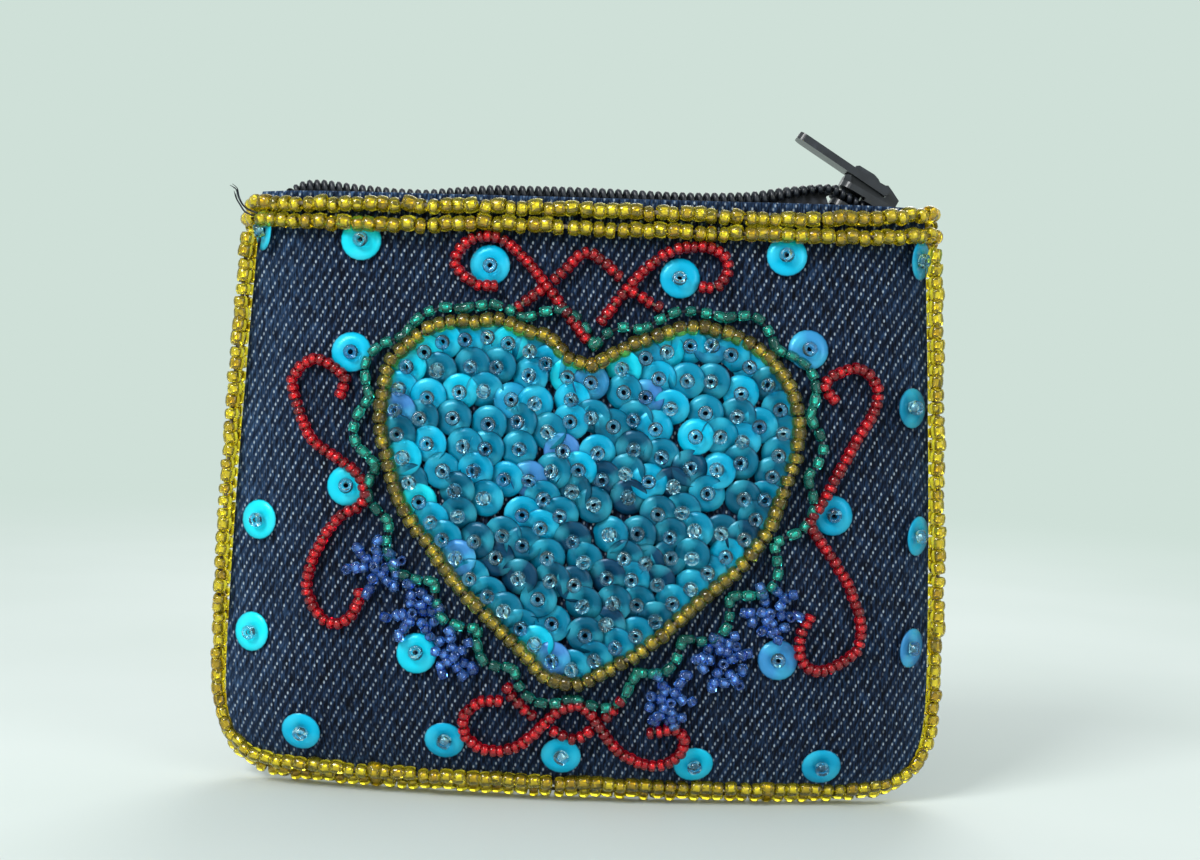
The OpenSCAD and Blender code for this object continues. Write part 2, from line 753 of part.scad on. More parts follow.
// The tape: sewn inside the panel below the mouth, then flat against the coil above it
tape_steps = 40;
tape_flat_share = 0.6;
module zip_tape(side) {
  left = coil_left;
  right = tail_x;
  stations = [
    for (i = [0:tape_steps])
      let (
        x = left + (right - left)*i/tape_steps,
        low_z = mouth_line(x) - tape_reach,
        low_y = half_thick(x, low_z) - denim_t - layer_gap,
        under = slider_z - (x - slider_x)*tan(slider_lean)
          - (slider_body_h/2 + bead_seat)/cos(slider_lean),
        near_slider = x > nose_x - 3*coil_wire,
        free_z = coil_middle_z(max(x, coil_left)),
        top_z = near_slider ? min(free_z, under) : free_z,
        by_slider = lip_gap(x) - coil_gap - coil_t,
        turned = 90*laid(x),
        by_coil = coil_middle_y(max(x, coil_left)) - layer_gap
          - norm([coil_w*sin(turned), coil_t*cos(turned)])/2,
        top_y = min(low_y, near_slider ? by_slider : by_coil)
      )
      [x, low_y, low_z, top_y, top_z, top_z - coil_w*tape_flat_share]
  ];
  points = [
    for (s = stations)
      each [
        [s[0], side*s[1], s[2]], [s[0], side*(s[1] - tape_t), s[2]],
        [s[0], side*(s[3] - tape_t), s[5]], [s[0], side*(s[3] - tape_t), s[4]],
        [s[0], side*s[3], s[4]], [s[0], side*s[3], s[5]]
      ]
  ];
  walls = [
    for (i = [0:tape_steps - 1], k = [0:5])
      let (a = 6*i + k, b = 6*i + (k + 1)%6)
      each [[a, b, b + 6], [a, b + 6, a + 6]]
  ];
  n = 6*tape_steps;
  faces = concat(walls, [[0, 5, 2, 1], [5, 4, 3, 2]],
    [[n, n + 1, n + 2, n + 5], [n + 2, n + 3, n + 4, n + 5]]);
  color(zip_black)
    polyhedron(points, side > 0 ? faces : [for (f = faces) [for (k = [len(f) - 1:-1:0]) f[k]]]);
}

// The stitched bar that holds the two rows together at the closed end
tack_d = 1.2;
module zip_end_tack() {
  at = coil_middle(coil_left, 0);
  long = 2*coil_middle_y(coil_left);
  color(zip_black)
    translate([at.x - coil_wire/2 - tack_d/2 - coil_gap, -long/2, at.z])
      rotate([-90, 0, 0]) cylinder(d = tack_d, h = long, $fn = 24);
}

// The slider's own frame: X from nose to tail, Z off its plates, its middle at the origin
module in_slider() {
  translate([slider_x, 0, slider_z]) rotate([0, slider_lean, 0]) children();
}

// Outline of a plate: round at the nose and drawn in to the tail
plate_round = 1.6;
function arc(c, r, from, to) = [
  for (k = [0:8]) let (a = from + (to - from)*k/8) c + r*[cos(a), sin(a)]
];
function plate_outline() =
  let (
    l = slider_l/2, a = slider_nose_w/2, b = slider_tail_w/2, r = plate_round
  )
  concat(
    arc([l - r/2, b - r/2], r/2, 0, 90),
    arc([-l + r, a - r], r, 90, 180),
    arc([-l + r, -a + r], r, 180, 270),
    arc([l - r/2, -b + r/2], r/2, 270, 360)
  );

module plate() {
  linear_extrude(slider_plate_t) polygon(plate_outline());
}

// The wedge between the plates that parts the two rows
wedge_l = 3.2;
wedge_w = 1.2;
wedge_nose_inset = 0.5;
module wedge() {
  l = slider_l/2 - wedge_nose_inset;
  linear_extrude(slider_channel_h + 2*layer_gap)
    polygon([[-l, -wedge_w/3], [-l, wedge_w/3], [-l + wedge_l/3, wedge_w/2],
      [-l + wedge_l, 0], [-l + wedge_l/3, -wedge_w/2]]);
}

// Flanges along the rear half of the plates, with the slot for the tape between them
flange_t = 0.5;
flange_h = 0.45;
flange_share = 0.55;
flange_inset = 1 - 2*flange_t/slider_tail_w;
module flanges() {
  from = slider_l*(1/2 - flange_share);
  for (s = [-1, 1])
    intersection() {
      linear_extrude(flange_h)
        difference() {
          polygon(plate_outline());
          polygon([for (p = plate_outline()) [2*p.x, p.y*flange_inset]]);
        }
      translate([from, s > 0 ? 0 : -slider_nose_w, -overrun])
        cube([slider_l, slider_nose_w, flange_h + 2*overrun]);
    }
}

// The crown that holds the tab's pin, drawn from the side, in heights over the plate
crown_w = 2.6;
crown_h = 3.25;
pin_x = 1.75;
pin_h = 1.46;
pin_d = 1.1;
pin_play = 0.08;
crown_wall = 0.9;
// How far the crown reaches to the nose and to the tail, as shares of the slider's length
crown_reach_shares = [0.42, 0.46];
// Its upper edge over the pin: along, as shares of the pin's place, and up, of its height
crown_edge_shares = [[-0.5, 0.97], [0, 0.88], [0.25, 0.78], [0.8, 0.78], [1, 0.84], [1.5, 0.72]];
crown_tail_share = 0.46;
module crown() {
  front = slider_l*crown_reach_shares[0];
  back = slider_l*crown_reach_shares[1];
  rotate([90, 0, 0])
    translate([0, 0, -crown_w/2])
      linear_extrude(crown_w)
        difference() {
          polygon(concat(
            [
              [-front + crown_wall, 0], [-front, pin_h], [-front, crown_h - crown_wall/3],
              [-front + crown_wall/2, crown_h]
            ],
            [for (e = crown_edge_shares) [e[0]*pin_x, e[1]*crown_h]],
            [[back, crown_h*crown_tail_share], [back, 0]]
          ));
          translate([pin_x, pin_h]) circle(d = pin_d + 2*pin_play, $fn = 32);
        }
}

// The raised edge of the nose, where the tab comes to rest
lip_l = 1.5;
lip_h = 1.25;
lip_flat = 0.4;
lip_edge_shares = [0.8, 1, 0.93];
module nose_lip() {
  w = slider_nose_w - 2*plate_round;
  rotate([90, 0, 0])
    translate([0, 0, -w/2])
      linear_extrude(w)
        polygon([
          [-slider_l/2, 0],
          for (k = [0:2]) [-slider_l/2 + lip_flat*k, lip_h*lip_edge_shares[k]],
          [-slider_l/2 + lip_l, 0]
        ]);
}

module slider_body() {
  top = slider_channel_h/2 + slider_plate_t - layer_gap;
  color(slider_black)
    in_slider() {
      translate([0, 0, slider_channel_h/2]) plate();
      translate([0, 0, -slider_channel_h/2 - slider_plate_t]) plate();
      translate([0, 0, -slider_channel_h/2 - layer_gap]) wedge();
      translate([0, 0, slider_channel_h/2 - flange_h]) flanges();
      translate([0, 0, -slider_channel_h/2]) flanges();
      translate([0, 0, top]) crown();
      translate([0, 0, top]) nose_lip();
    }
}

// The pull tab: a blade with an eye round the crown, and the pin across the eye
eye_l = 6.4;
eye_w = crown_w + 0.5;
blade_round = 1.2;
function tab_outline() =
  let (w = tab_w/2, r = blade_round)
  concat(
    arc([-tab_reach + r, w - r], r, 90, 180),
    arc([-tab_reach + r, -w + r], r, 180, 270),
    [[0, -w], [0, w]]
  );

module pull_tab() {
  color(slider_black)
    in_slider()
      translate([pin_x, 0, slider_channel_h/2 + slider_plate_t + pin_h])
        rotate([0, tab_lift, 0]) {
          difference() {
            translate([0, 0, -tab_t/2]) linear_extrude(tab_t) polygon(tab_outline());
            translate([-eye_l, -eye_w/2, -tab_t]) cube([2*eye_l, eye_w, 2*tab_t]);
          }
          translate([0, tab_w/2, 0]) rotate([90, 0, 0]) cylinder(d = pin_d, h = tab_w, $fn = 32);
        }
}

// The loose end of the sewing thread at the left end of the mouth
thread_d = 0.3;
thread_px = [
  [[258, 214], [246, 208], [240, 199], [237, 190], [231, 186]],
  [[256, 217], [247, 213], [242, 206], [238, 199], [236, 192]]
];
thread_out = seam_half + bead_seat + seam_bead_od + 2*thread_d;
module thread_tail() {
  color(zip_black)
    for (i = [0:1]) {
      line = [for (p = smooth(places(thread_px[i]))) [p.x, -thread_out - i*2*thread_d, p.y]];
      tube(line, [for (p = line) p + [0, mouth_half_gap, 0]], thread_d/2, 5);
    }
}

front_panel();
back_panel();
lining(-1);  // front_lining
lining(1);  // back_lining
seam_beads(seam_side(-1));  // seam_beads_left
seam_beads(seam_bottom());  // seam_beads_bottom
seam_beads(seam_side(1));  // seam_beads_right
mouth_beads(-1, 0);  // mouth_beads_front_upper
mouth_beads(-1, 1);  // mouth_beads_front_lower
mouth_beads(1, 0);  // mouth_beads_back_upper
mouth_beads(1, 1);  // mouth_beads_back_lower
heart_outline_beads();
heart_sequins();
heart_sequin_beads();
scallop_beads();
scroll(scroll_left_px);  // scroll_left
scroll(scroll_right_px);  // scroll_right
scroll(scroll_top_left_px);  // scroll_top_left
scroll(scroll_top_right_px);  // scroll_top_right
scroll(scroll_top_peak_px);  // scroll_top_peak
scroll(scroll_bottom_long_px);  // scroll_bottom_long
scroll(scroll_bottom_cross_px);  // scroll_bottom_cross
flower(flower_px[0]);  // flower_left_upper
flower(flower_px[1]);  // flower_left_middle
flower(flower_px[2]);  // flower_left_lower
flower(flower_px[3]);  // flower_right_upper
flower(flower_px[4]);  // flower_right_middle
flower(flower_px[5]);  // flower_right_lower
loose_sequins();
loose_sequin_beads();
zip_tape(-1);  // zip_tape_front
zip_tape(1);  // zip_tape_back
zip_coil(-1);  // zip_coil_front
zip_coil(1);  // zip_coil_back
zip_end_tack();
slider_body();
pull_tab();
thread_tail();
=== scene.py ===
import math
import random

import bmesh
import bpy
from mathutils import Matrix, Vector, noise


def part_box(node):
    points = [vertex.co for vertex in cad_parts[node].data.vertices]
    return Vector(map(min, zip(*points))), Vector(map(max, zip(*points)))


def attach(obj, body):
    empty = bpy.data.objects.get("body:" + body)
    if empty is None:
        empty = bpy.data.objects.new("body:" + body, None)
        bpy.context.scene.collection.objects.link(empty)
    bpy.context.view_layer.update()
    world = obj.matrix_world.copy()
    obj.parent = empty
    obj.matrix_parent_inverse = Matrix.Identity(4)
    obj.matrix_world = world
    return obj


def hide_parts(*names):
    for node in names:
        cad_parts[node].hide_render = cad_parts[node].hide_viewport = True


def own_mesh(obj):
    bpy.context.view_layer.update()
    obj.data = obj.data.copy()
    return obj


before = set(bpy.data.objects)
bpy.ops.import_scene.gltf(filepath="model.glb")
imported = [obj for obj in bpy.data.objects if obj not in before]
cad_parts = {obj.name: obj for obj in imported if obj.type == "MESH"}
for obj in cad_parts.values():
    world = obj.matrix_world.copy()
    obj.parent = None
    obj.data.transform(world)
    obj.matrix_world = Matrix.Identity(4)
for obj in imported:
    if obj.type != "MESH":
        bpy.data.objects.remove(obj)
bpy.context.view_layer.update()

# Sizes are in millimetres until a mesh is made; floor, lamps and backdrop are in metres
MM = 0.001
PURSE = "purse"
SIDES = ((-1, "front"), (1, "back"))


def frame_box(node):
    """A node's lowest and highest corners in millimetres."""
    lo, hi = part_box(node)
    return Vector(lo) / MM, Vector(hi) / MM


panel_lo, panel_hi = frame_box("front_panel")
PURSE_W = 107.4
MOUTH_RISE = 1.0
MOUTH_W = 99.4
SEAM_Z = panel_lo.z
MOUTH_Z = panel_hi.z - MOUTH_RISE / 2
PURSE_H = MOUTH_Z - SEAM_Z
BELLY_HALF = 8.0
BELLY_REACH = 24.0
SEAM_BOW = 3.0
MOUTH_HALF_GAP = 4.5
DENIM_T = 1.0
LINING_T = 0.35
LAYER_GAP = 0.05
SEAM_HALF = DENIM_T + LINING_T + 1.5 * LAYER_GAP
CORNER_POWER = 5.6
BELLY_POWER = 2.5
MOUTH_POWER = 10
WIDEST_SHARE = 0.16
TAPER_POWER = 1.3
NARROWING_SHARE = 0.55
BOW_POWER = 1.5

SEAM_BEAD = 2.3
SEAM_BEAD_LEN = 1.8
SEAM_BEAD_PITCH = 1.85
SEAM_BEAD_SEAT = 0.06
BEAD_SEAT = 0.25
HEART_BEAD = 2.4
SCALLOP_BEAD = 1.6
SCROLL_BEAD = 1.8
FLOWER_BEAD = 1.55
STOP_BEAD = 2.3
SEQUIN_D = 6.0
HEART_SEQUIN_D = 5.5
SEWN_BEAD_LEN = 1.35

# The weave: dots this far apart along a row and up, each row stepped across
TWILL_ACROSS = 1.49
TWILL_UP = 0.627
TWILL_STEP = 0.383
WEFT_DOT = 0.42
DOT_STRETCH = 0.6
WARP_THREAD = 0.26

TAPE_REACH = 7.5
TAPE_T = 0.4
COIL_W = 2.3
COIL_T = 1.65
COIL_WIRE = 0.62
WIRE_SEEN = 0.8
COIL_TURNS = 76
SLIDER_LEAN = math.radians(27.0)
SLIDER_L = 9.3


# The purse's form


def clamp(v):
    """A value kept from 0 to 1."""
    return min(1, max(0, v))


def ease(t):
    """A share from 0 to 1 that starts and ends gently."""
    return t * t * (3 - 2 * t)


def half_w(z):
    """Half of the denim's width at a height."""
    low = SEAM_Z + PURSE_H * WIDEST_SHARE
    t = clamp((z - low) / (MOUTH_Z - low))
    return PURSE_W / 2 - (PURSE_W - MOUTH_W) / 2 * t**TAPER_POWER


def mouth_line(x):
    """Height of the denim's upper edge."""
    return MOUTH_Z + MOUTH_RISE * x / MOUTH_W


def outness(x, z):
    """How far out to the seam a place is, from 0 to 1."""
    a = clamp(1 - (half_w(z) - abs(x)) / BELLY_REACH)
    b = clamp(1 - (z - SEAM_Z) / BELLY_REACH)
    return min(1, (a**CORNER_POWER + b**CORNER_POWER) ** (1 / CORNER_POWER))


def seam_low(x):
    """Height of the bottom seam under a place across the panel."""
    a = clamp(1 - (PURSE_W / 2 - abs(x)) / BELLY_REACH)
    return SEAM_Z + BELLY_REACH * (1 - max(0, 1 - a**CORNER_POWER) ** (1 / CORNER_POWER))


def half_thick(x, z):
    """Half of the purse's thickness, to the outside of the denim."""
    body = SEAM_HALF + (BELLY_HALF - SEAM_HALF) * (1 - outness(x, z) ** BELLY_POWER)
    across = min(1, abs(x) / half_w(z))
    lips = SEAM_HALF + (MOUTH_HALF_GAP + DENIM_T - SEAM_HALF) * (1 - across**MOUTH_POWER)
    start = SEAM_Z + PURSE_H * NARROWING_SHARE
    narrow = ease(clamp((z - start) / (MOUTH_Z - start)))
    return body * (1 - narrow) + lips * narrow


def bow(x, z):
    """How far back the middle surface lies: bowed at the foot, straight at the mouth."""
    across = 2 * x / PURSE_W
    rise = clamp(1 - (z - SEAM_Z) / PURSE_H)
    return SEAM_BOW * (2 * across * across - 1) * rise**BOW_POWER


def pucker(x, z, side):
    """Shallow waves where the stitches draw the cloth in, strongest along the seams."""
    broad = noise.noise(Vector((x * 0.07, z * 0.07, 3.0 * side)))
    fine = noise.noise(Vector((x * 0.28, z * 0.28, 9.0 + side)))
    edge = outness(x, z) ** 4
    return 0.28 * broad * (1 - edge) + 0.16 * fine * edge


def on_panel(x, z, side, depth=0.0):
    """A point on the panel, depth mm under its outside; side -1 is the front."""
    y = bow(x, z) + side * (half_thick(x, z) - depth + pucker(x, z, side))
    return Vector((x, y, z))


def panel_normal(x, z, side):
    """The outward normal there."""
    probe = 0.4
    dx = on_panel(x + probe, z, side) - on_panel(x - probe, z, side)
    dz = on_panel(x, z + probe, side) - on_panel(x, z - probe, side)
    n = dx.cross(dz).normalized()
    return n if n.y * side > 0 else -n


def over_panel(place, side, lift):
    """A point lifted off the panel along its normal."""
    x, z = place
    return on_panel(x, z, side) + panel_normal(x, z, side) * lift


# Places read from the photograph, in its own pixels
PHOTO_TURN = (578, 430)
PHOTO_ROLL = math.radians(2.25)
PHOTO_MID = 584
PHOTO_SEAM = 792
PHOTO_HALF = 361
PHOTO_H = 593
# the share that a millimetre of fullness adds to what is seen, about this height
NEARER = 0.0026
MIDDLE_Z = 56


def place(px):
    """A photograph pixel as a place (x, z) on the front."""
    t = math.tan(PHOTO_ROLL)
    x = px[0] + (px[1] - PHOTO_TURN[1]) * t
    y = px[1] - (px[0] - PHOTO_TURN[0]) * t
    x = (x - PHOTO_MID) / PHOTO_HALF * PURSE_W / 2
    z = SEAM_Z + (PHOTO_SEAM - y) / PHOTO_H * PURSE_H
    # the swollen middle is nearer to the eye than the seam, so it looks larger
    true = 1 - NEARER * (half_thick(x, z) - SEAM_HALF)
    return x * true, MIDDLE_Z + (z - MIDDLE_Z) * true


def smooth(points, closed=False, steps=6):
    """A curve through places, open or closed."""
    n = len(points)
    out = []
    for i in range(n if closed else n - 1):
        near = [(i + k) % n if closed else min(n - 1, max(0, i + k)) for k in (-1, 0, 1, 2)]
        a, b, c, d = (points[k] for k in near)
        for k in range(steps):
            t = k / steps
            out.append(tuple(
                (
                    2 * b[j] + (c[j] - a[j]) * t
                    + (2 * a[j] - 5 * b[j] + 4 * c[j] - d[j]) * t * t
                    + (3 * b[j] - a[j] - 3 * c[j] + d[j]) * t**3
                ) / 2
                for j in (0, 1)
            ))
    out.append(tuple(points[0] if closed else points[-1]))
    return out


# Nodes


FAMILIES = ("ShaderNode", "GeometryNode", "FunctionNode", "")


def add(tree, kind, inputs=(), out=0, stops=None, **settings):
    """Adds a node, sets its properties, colour stops and sockets, and gives the output asked for.

    The kind leaves out its family's name, and an operation may follow it. Inputs are given by
    name or in order, as values or as the outputs to link.
    """
    kind, *operation = kind.split()
    family = next(f for f in FAMILIES if hasattr(bpy.types, f + kind))
    made = tree.nodes.new(family + kind)
    if operation:
        made.operation = operation[0]
    for key, value in settings.items():
        setattr(made, key, value)
    for key, value in inputs.items() if isinstance(inputs, dict) else enumerate(inputs):
        if isinstance(value, bpy.types.NodeSocket):
            tree.links.new(value, made.inputs[key])
        else:
            made.inputs[key].default_value = value
    if stops:
        elements = made.color_ramp.elements
        while len(elements) < len(stops):
            elements.new(1.0)
        for element, (at, colour) in zip(elements, stops):
            element.position = at
            element.color = paint(colour)
    return made.outputs[out] if made.outputs else made


def paint(text, alpha=1.0):
    """An sRGB hex colour as linear RGBA."""
    parts = [int(text[i : i + 2], 16) / 255 for i in (1, 3, 5)]
    lin = [p / 12.92 if p <= 0.04045 else ((p + 0.055) / 1.055) ** 2.4 for p in parts]
    return (*lin, alpha)


def new_material(name):
    """A material with no nodes yet, and its tree."""
    material = bpy.data.materials.new(name)
    material.use_nodes = True
    material.node_tree.nodes.clear()
    return material, material.node_tree


def surfaced(material, inputs):
    """Ends a material in one principled surface with these inputs."""
    shader = add(material.node_tree, "BsdfPrincipled", inputs)
    add(material.node_tree, "OutputMaterial", {"Surface": shader})
    return material


# Materials


def seed_beads(glass, body, deep, lining, bright, dull, clear=0.85, bright_from=0.7):
    """Pressed seed glass, which light enters and leaves coloured, and its silvered hole."""
    pair = []
    for name, stops, finish in (
        (
            glass, [(0.0, deep), (0.55, body), (1.0, body)],
            {"Roughness": 0.06, "IOR": 1.5, "Transmission Weight": clear},
        ),
        (
            lining, [(0.0, dull), (bright_from, bright), (1.0, bright)],
            {"Metallic": 0.75, "Roughness": 0.32},
        ),
    ):
        material, tree = new_material(name)
        tint = add(tree, "Attribute", out="Fac", attribute_name="tint")
        colour = add(tree, "ValToRGB", {"Fac": tint}, stops=stops)
        pair.append(surfaced(material, {"Base Color": colour, **finish}))
    return pair


def indigo_twill():
    """Raw denim: indigo warp over a white weft that shows as dots along steep diagonals."""
    material, tree = new_material("indigo_twill_denim")
    weave = add(tree, "UVMap", uv_map="weave")
    wear = add(tree, "Attribute", out="Fac", attribute_name="wear")
    place_in = add(tree, "TexCoord", out="Object")
    # each cell of the weave map is one weft dot
    cell = add(tree, "VectorMath FLOOR", (weave,))
    spot = add(tree, "VectorMath FRACTION", (weave,))
    chance = add(tree, "TexWhiteNoise", {"Vector": cell}, noise_dimensions="2D")
    middle = add(tree, "VectorMath SUBTRACT", (spot, (0.5, 0.5, 0.0)))
    stray = add(
        tree, "VectorMath MULTIPLY_ADD",
        (chance.node.outputs["Color"], (0.14, 0.2, 0.0), (-0.07, -0.1, 0.0)),
    )
    offset = add(tree, "VectorMath ADD", (middle, stray))
    across = add(tree, "VectorMath DOT_PRODUCT", (offset, (TWILL_ACROSS, TWILL_STEP, 0.0)), "Value")
    up = add(tree, "VectorMath DOT_PRODUCT", (offset, (0.0, TWILL_UP, 0.0)), "Value")
    long = add(tree, "Math MULTIPLY", (up, DOT_STRETCH))
    real = add(tree, "CombineXYZ", {"X": across, "Y": long})
    far = add(tree, "VectorMath LENGTH", (real,), "Value")
    dot = add(
        tree, "MapRange",
        {"Value": far, "From Min": WEFT_DOT * 0.5, "From Max": WEFT_DOT * 0.1, "To Max": 1.0},
        interpolation_type="SMOOTHSTEP",
    )
    strength = add(tree, "MapRange", {"Value": chance, "To Min": 0.1, "To Max": 0.8})
    # the warp: fine upright streaks, each about the width of one thread
    streaks = add(
        tree, "Mapping", {"Vector": place_in, "Scale": (1 / (WARP_THREAD * MM), 600.0, 620.0)}
    )
    yarn = add(tree, "TexNoise", {"Vector": streaks, "Scale": 1.0, "Detail": 3.0, "Roughness": 0.6})
    blotch = add(tree, "TexNoise", {"Vector": place_in, "Scale": 90.0, "Detail": 2.0})
    paling = add(tree, "Math MULTIPLY_ADD", (wear, blotch, 0.0))
    indigo = add(tree, "ValToRGB", {"Fac": yarn}, stops=[
        (0.34, "#060a13"), (0.5, "#111c30"), (0.66, "#233a5a"),
    ])
    pale = add(tree, "ValToRGB", {"Fac": yarn}, stops=[
        (0.34, "#16263f"), (0.5, "#2b4568"), (0.68, "#5577a0"),
    ])
    cloth = add(tree, "Mix", {"Factor": paling, 6: indigo, 7: pale}, 2, data_type="RGBA")
    # between two lines of dots the twill lies in a groove, darkened there as painted shade
    aside = add(tree, "SeparateXYZ", (middle,))
    off_line = add(tree, "Math ABSOLUTE", (aside,))
    groove_shade = add(
        tree, "MapRange",
        {"Value": off_line, "From Min": 0.2, "From Max": 0.5, "To Min": 1.0, "To Max": 0.5},
        interpolation_type="SMOOTHSTEP",
    )
    groove_shaded = add(tree, "VectorMath SCALE", {0: cloth, "Scale": groove_shade})
    shown = add(tree, "Math MULTIPLY", (dot, strength))
    mixed = add(tree, "Mix", {"Factor": shown, 6: groove_shaded, 7: paint("#b3c2d0")}, 2, data_type="RGBA")
    # warp yarns stand up, the weft dots lie between them
    hollow = add(tree, "Math MULTIPLY_ADD", (dot, -0.5, yarn))
    bump = add(tree, "Bump", {"Height": hollow, "Strength": 0.55, "Distance": 0.25 * MM})
    return surfaced(material, {
        "Base Color": mixed, "Roughness": 0.88, "Normal": bump, "Sheen Weight": 0.03,
        "Sheen Roughness": 0.5, "Specular IOR Level": 0.08,
    })


def plain_weave(name, dark, light, thread_mm):
    """Plain-woven cloth: a small over-and-under grid and a soft finish."""
    material, tree = new_material(name)
    at = add(tree, "TexCoord", out="Object")
    thread = {"Vector": at, "Scale": 1 / (thread_mm * MM) / 20, "Distortion": 0.6}
    warp = add(tree, "TexWave", thread, "Fac", bands_direction="X")
    weft = add(tree, "TexWave", thread, "Fac", bands_direction="Z")
    both = add(tree, "Math MULTIPLY", (warp, weft))
    colour = add(tree, "ValToRGB", {"Fac": both}, stops=[(0.0, dark), (0.8, light)])
    bump = add(tree, "Bump", {"Height": both, "Strength": 0.4, "Distance": 0.12 * MM})
    return surfaced(material, {
        "Base Color": colour, "Roughness": 0.85, "Normal": bump, "Sheen Weight": 0.1,
    })


def sequin_film():
    """Stamped PVC film, cyan with a pearl coat: each sequin has its own tone, painted light and shade
    included.
    """
    material, tree = new_material("pearl_pvc_film")
    # each sequin's tint mixes its painted light and shade with a random tone of its own
    tint = add(tree, "Attribute", out="Fac", attribute_name="tint")
    tone = add(tree, "ValToRGB", {"Fac": tint}, stops=[
        (0.0, "#0d4464"), (0.2, "#076480"), (0.42, "#0486a8"), (0.5, "#0496ba"), (0.54, "#4f8ed2"),
        (0.58, "#06a2ca"), (0.74, "#04c0e8"), (1.0, "#1aeefa"),
    ])
    # the rim is darkened to a thin line, painted shade along the stamped edge, with a light band
    # inside it
    far = add(tree, "Attribute", out="Fac", attribute_name="far")
    edge = add(tree, "ValToRGB", {"Fac": far}, stops=[
        (0.0, "#ffffff"), (0.9, "#ffffff"), (0.95, "#e4f2f5"), (0.98, "#7a9ca6"),
    ])
    rim_shaded = add(
        tree, "Mix", {"Factor": 1.0, 6: tone, 7: edge}, 2, data_type="RGBA", blend_type="MULTIPLY"
    )
    # a painted highlight: a fan of light cyan across each sequin, where its grain would throw the
    # light back
    painted_glare = add(tree, "Attribute", out="Fac", attribute_name="painted_glare")
    bright = add(tree, "MapRange", {"Value": painted_glare, "From Min": 0.5, "From Max": 1.0, "To Max": 0.34})
    colour = add(tree, "Mix", {"Factor": bright, 6: rim_shaded, 7: paint("#4fe2f8")}, 2, data_type="RGBA")
    at = add(tree, "TexCoord", out="Object")
    grain = add(tree, "TexNoise", {"Vector": at, "Scale": 1800.0, "Detail": 2.0})
    bump = add(tree, "Bump", {"Height": grain, "Strength": 0.12, "Distance": 0.05 * MM})
    return surfaced(material, {
        "Base Color": colour, "Metallic": 0.1, "Roughness": 0.32, "Specular IOR Level": 0.15,
        "Normal": bump, "Coat Weight": 0.12, "Coat Roughness": 0.1, "Coat Tint": paint("#c4d8ff"),
        "Transmission Weight": 0.05,
    })


def moulded_nylon():
    """Dyed nylon monofilament: dark, smooth and a little shiny."""
    material, tree = new_material("dyed_nylon_monofilament")
    at = add(tree, "TexCoord", out="Object")
    cloud = add(tree, "TexNoise", {"Vector": at, "Scale": 500.0, "Detail": 2.0})
    colour = add(tree, "ValToRGB", {"Fac": cloud}, stops=[(0.3, "#12151b"), (0.7, "#262b34")])
    rough = add(tree, "MapRange", {"Value": cloud, "To Min": 0.28, "To Max": 0.45})
    return surfaced(material, {"Base Color": colour, "Roughness": rough})


def slider_enamel():
    """Zinc under black enamel: smooth, with the film thin and grey in scuffed patches."""
    material, tree = new_material("black_enamel_on_zinc")
    at = add(tree, "TexCoord", out="Object")
    orange_peel = add(tree, "TexNoise", {"Vector": at, "Scale": 900.0, "Detail": 3.0})
    scuff = add(tree, "TexNoise", {"Vector": at, "Scale": 260.0, "Detail": 6.0})
    colour = add(tree, "ValToRGB", {"Fac": scuff}, stops=[
        (0.35, "#15181d"), (0.62, "#24282f"), (0.75, "#3c4149"),
    ])
    rough = add(tree, "MapRange", {"Value": scuff, "To Min": 0.3, "To Max": 0.5})
    bump = add(tree, "Bump", {"Height": orange_peel, "Strength": 0.15, "Distance": 0.05 * MM})
    return surfaced(material, {
        "Base Color": colour, "Roughness": rough, "Normal": bump, "Coat Weight": 0.25,
    })


def spun_thread(name, dark, light):
    """Spun sewing thread: matt, with a fine twist."""
    material, tree = new_material(name)
    at = add(tree, "TexCoord", out="Object")
    twist = add(
        tree, "TexWave", {"Vector": at, "Scale": 350.0, "Distortion": 1.0}, "Fac",
        bands_direction="DIAGONAL",
    )
    colour = add(tree, "ValToRGB", {"Fac": twist}, stops=[(0.2, dark), (0.8, light)])
    return surfaced(material, {"Base Color": colour, "Roughness": 0.9})


DENIM = indigo_twill()
LINING = plain_weave("black_cotton_lining", "#14161b", "#2b2f38", 0.35)
TAPE = plain_weave("black_polyester_tape", "#0d0f13", "#2a2e36", 0.3)
FILM = sequin_film()
NYLON = moulded_nylon()
ENAMEL = slider_enamel()
DARK_THREAD = spun_thread("black_spun_thread", "#0e1116", "#262b34")
PALE_THREAD = spun_thread("waxed_beige_thread", "#3d372f", "#8c8171")

YELLOW = seed_beads(
    "yellow_seed_glass", "#fdec3c", "#ecd22a", "yellow_bead_lining", "#fff27e", "#c4a614", 0.92, 0.8
)
GOLD = seed_beads(
    "olive_gold_seed_glass", "#ecd85a", "#cdb640", "gold_bead_lining", "#d8c448", "#4e4210",
    0.95, 0.95,
)
GREEN = seed_beads(
    "teal_seed_glass", "#3cd8c6", "#20a498", "teal_bead_lining", "#7ff4e6", "#0e524c", 0.9
)
RED = seed_beads(
    "ruby_seed_glass", "#ec142e", "#b00c20", "ruby_bead_lining", "#ff2c44", "#a81e30"
)
BLUE = seed_beads(
    "cobalt_seed_glass", "#74b0ff", "#4c8cf4", "cobalt_bead_lining", "#d4e8ff", "#5a4a3c", 0.9, 0.55
)
AQUA = seed_beads(
    "aqua_seed_glass", "#b4ecfa", "#7accec", "aqua_bead_lining", "#f4ffff", "#33505c", 0.96, 0.8
)


# Node trees for what repeats


SOCKETS = {float: "NodeSocketFloat", int: "NodeSocketInt", type(None): "NodeSocketMaterial"}


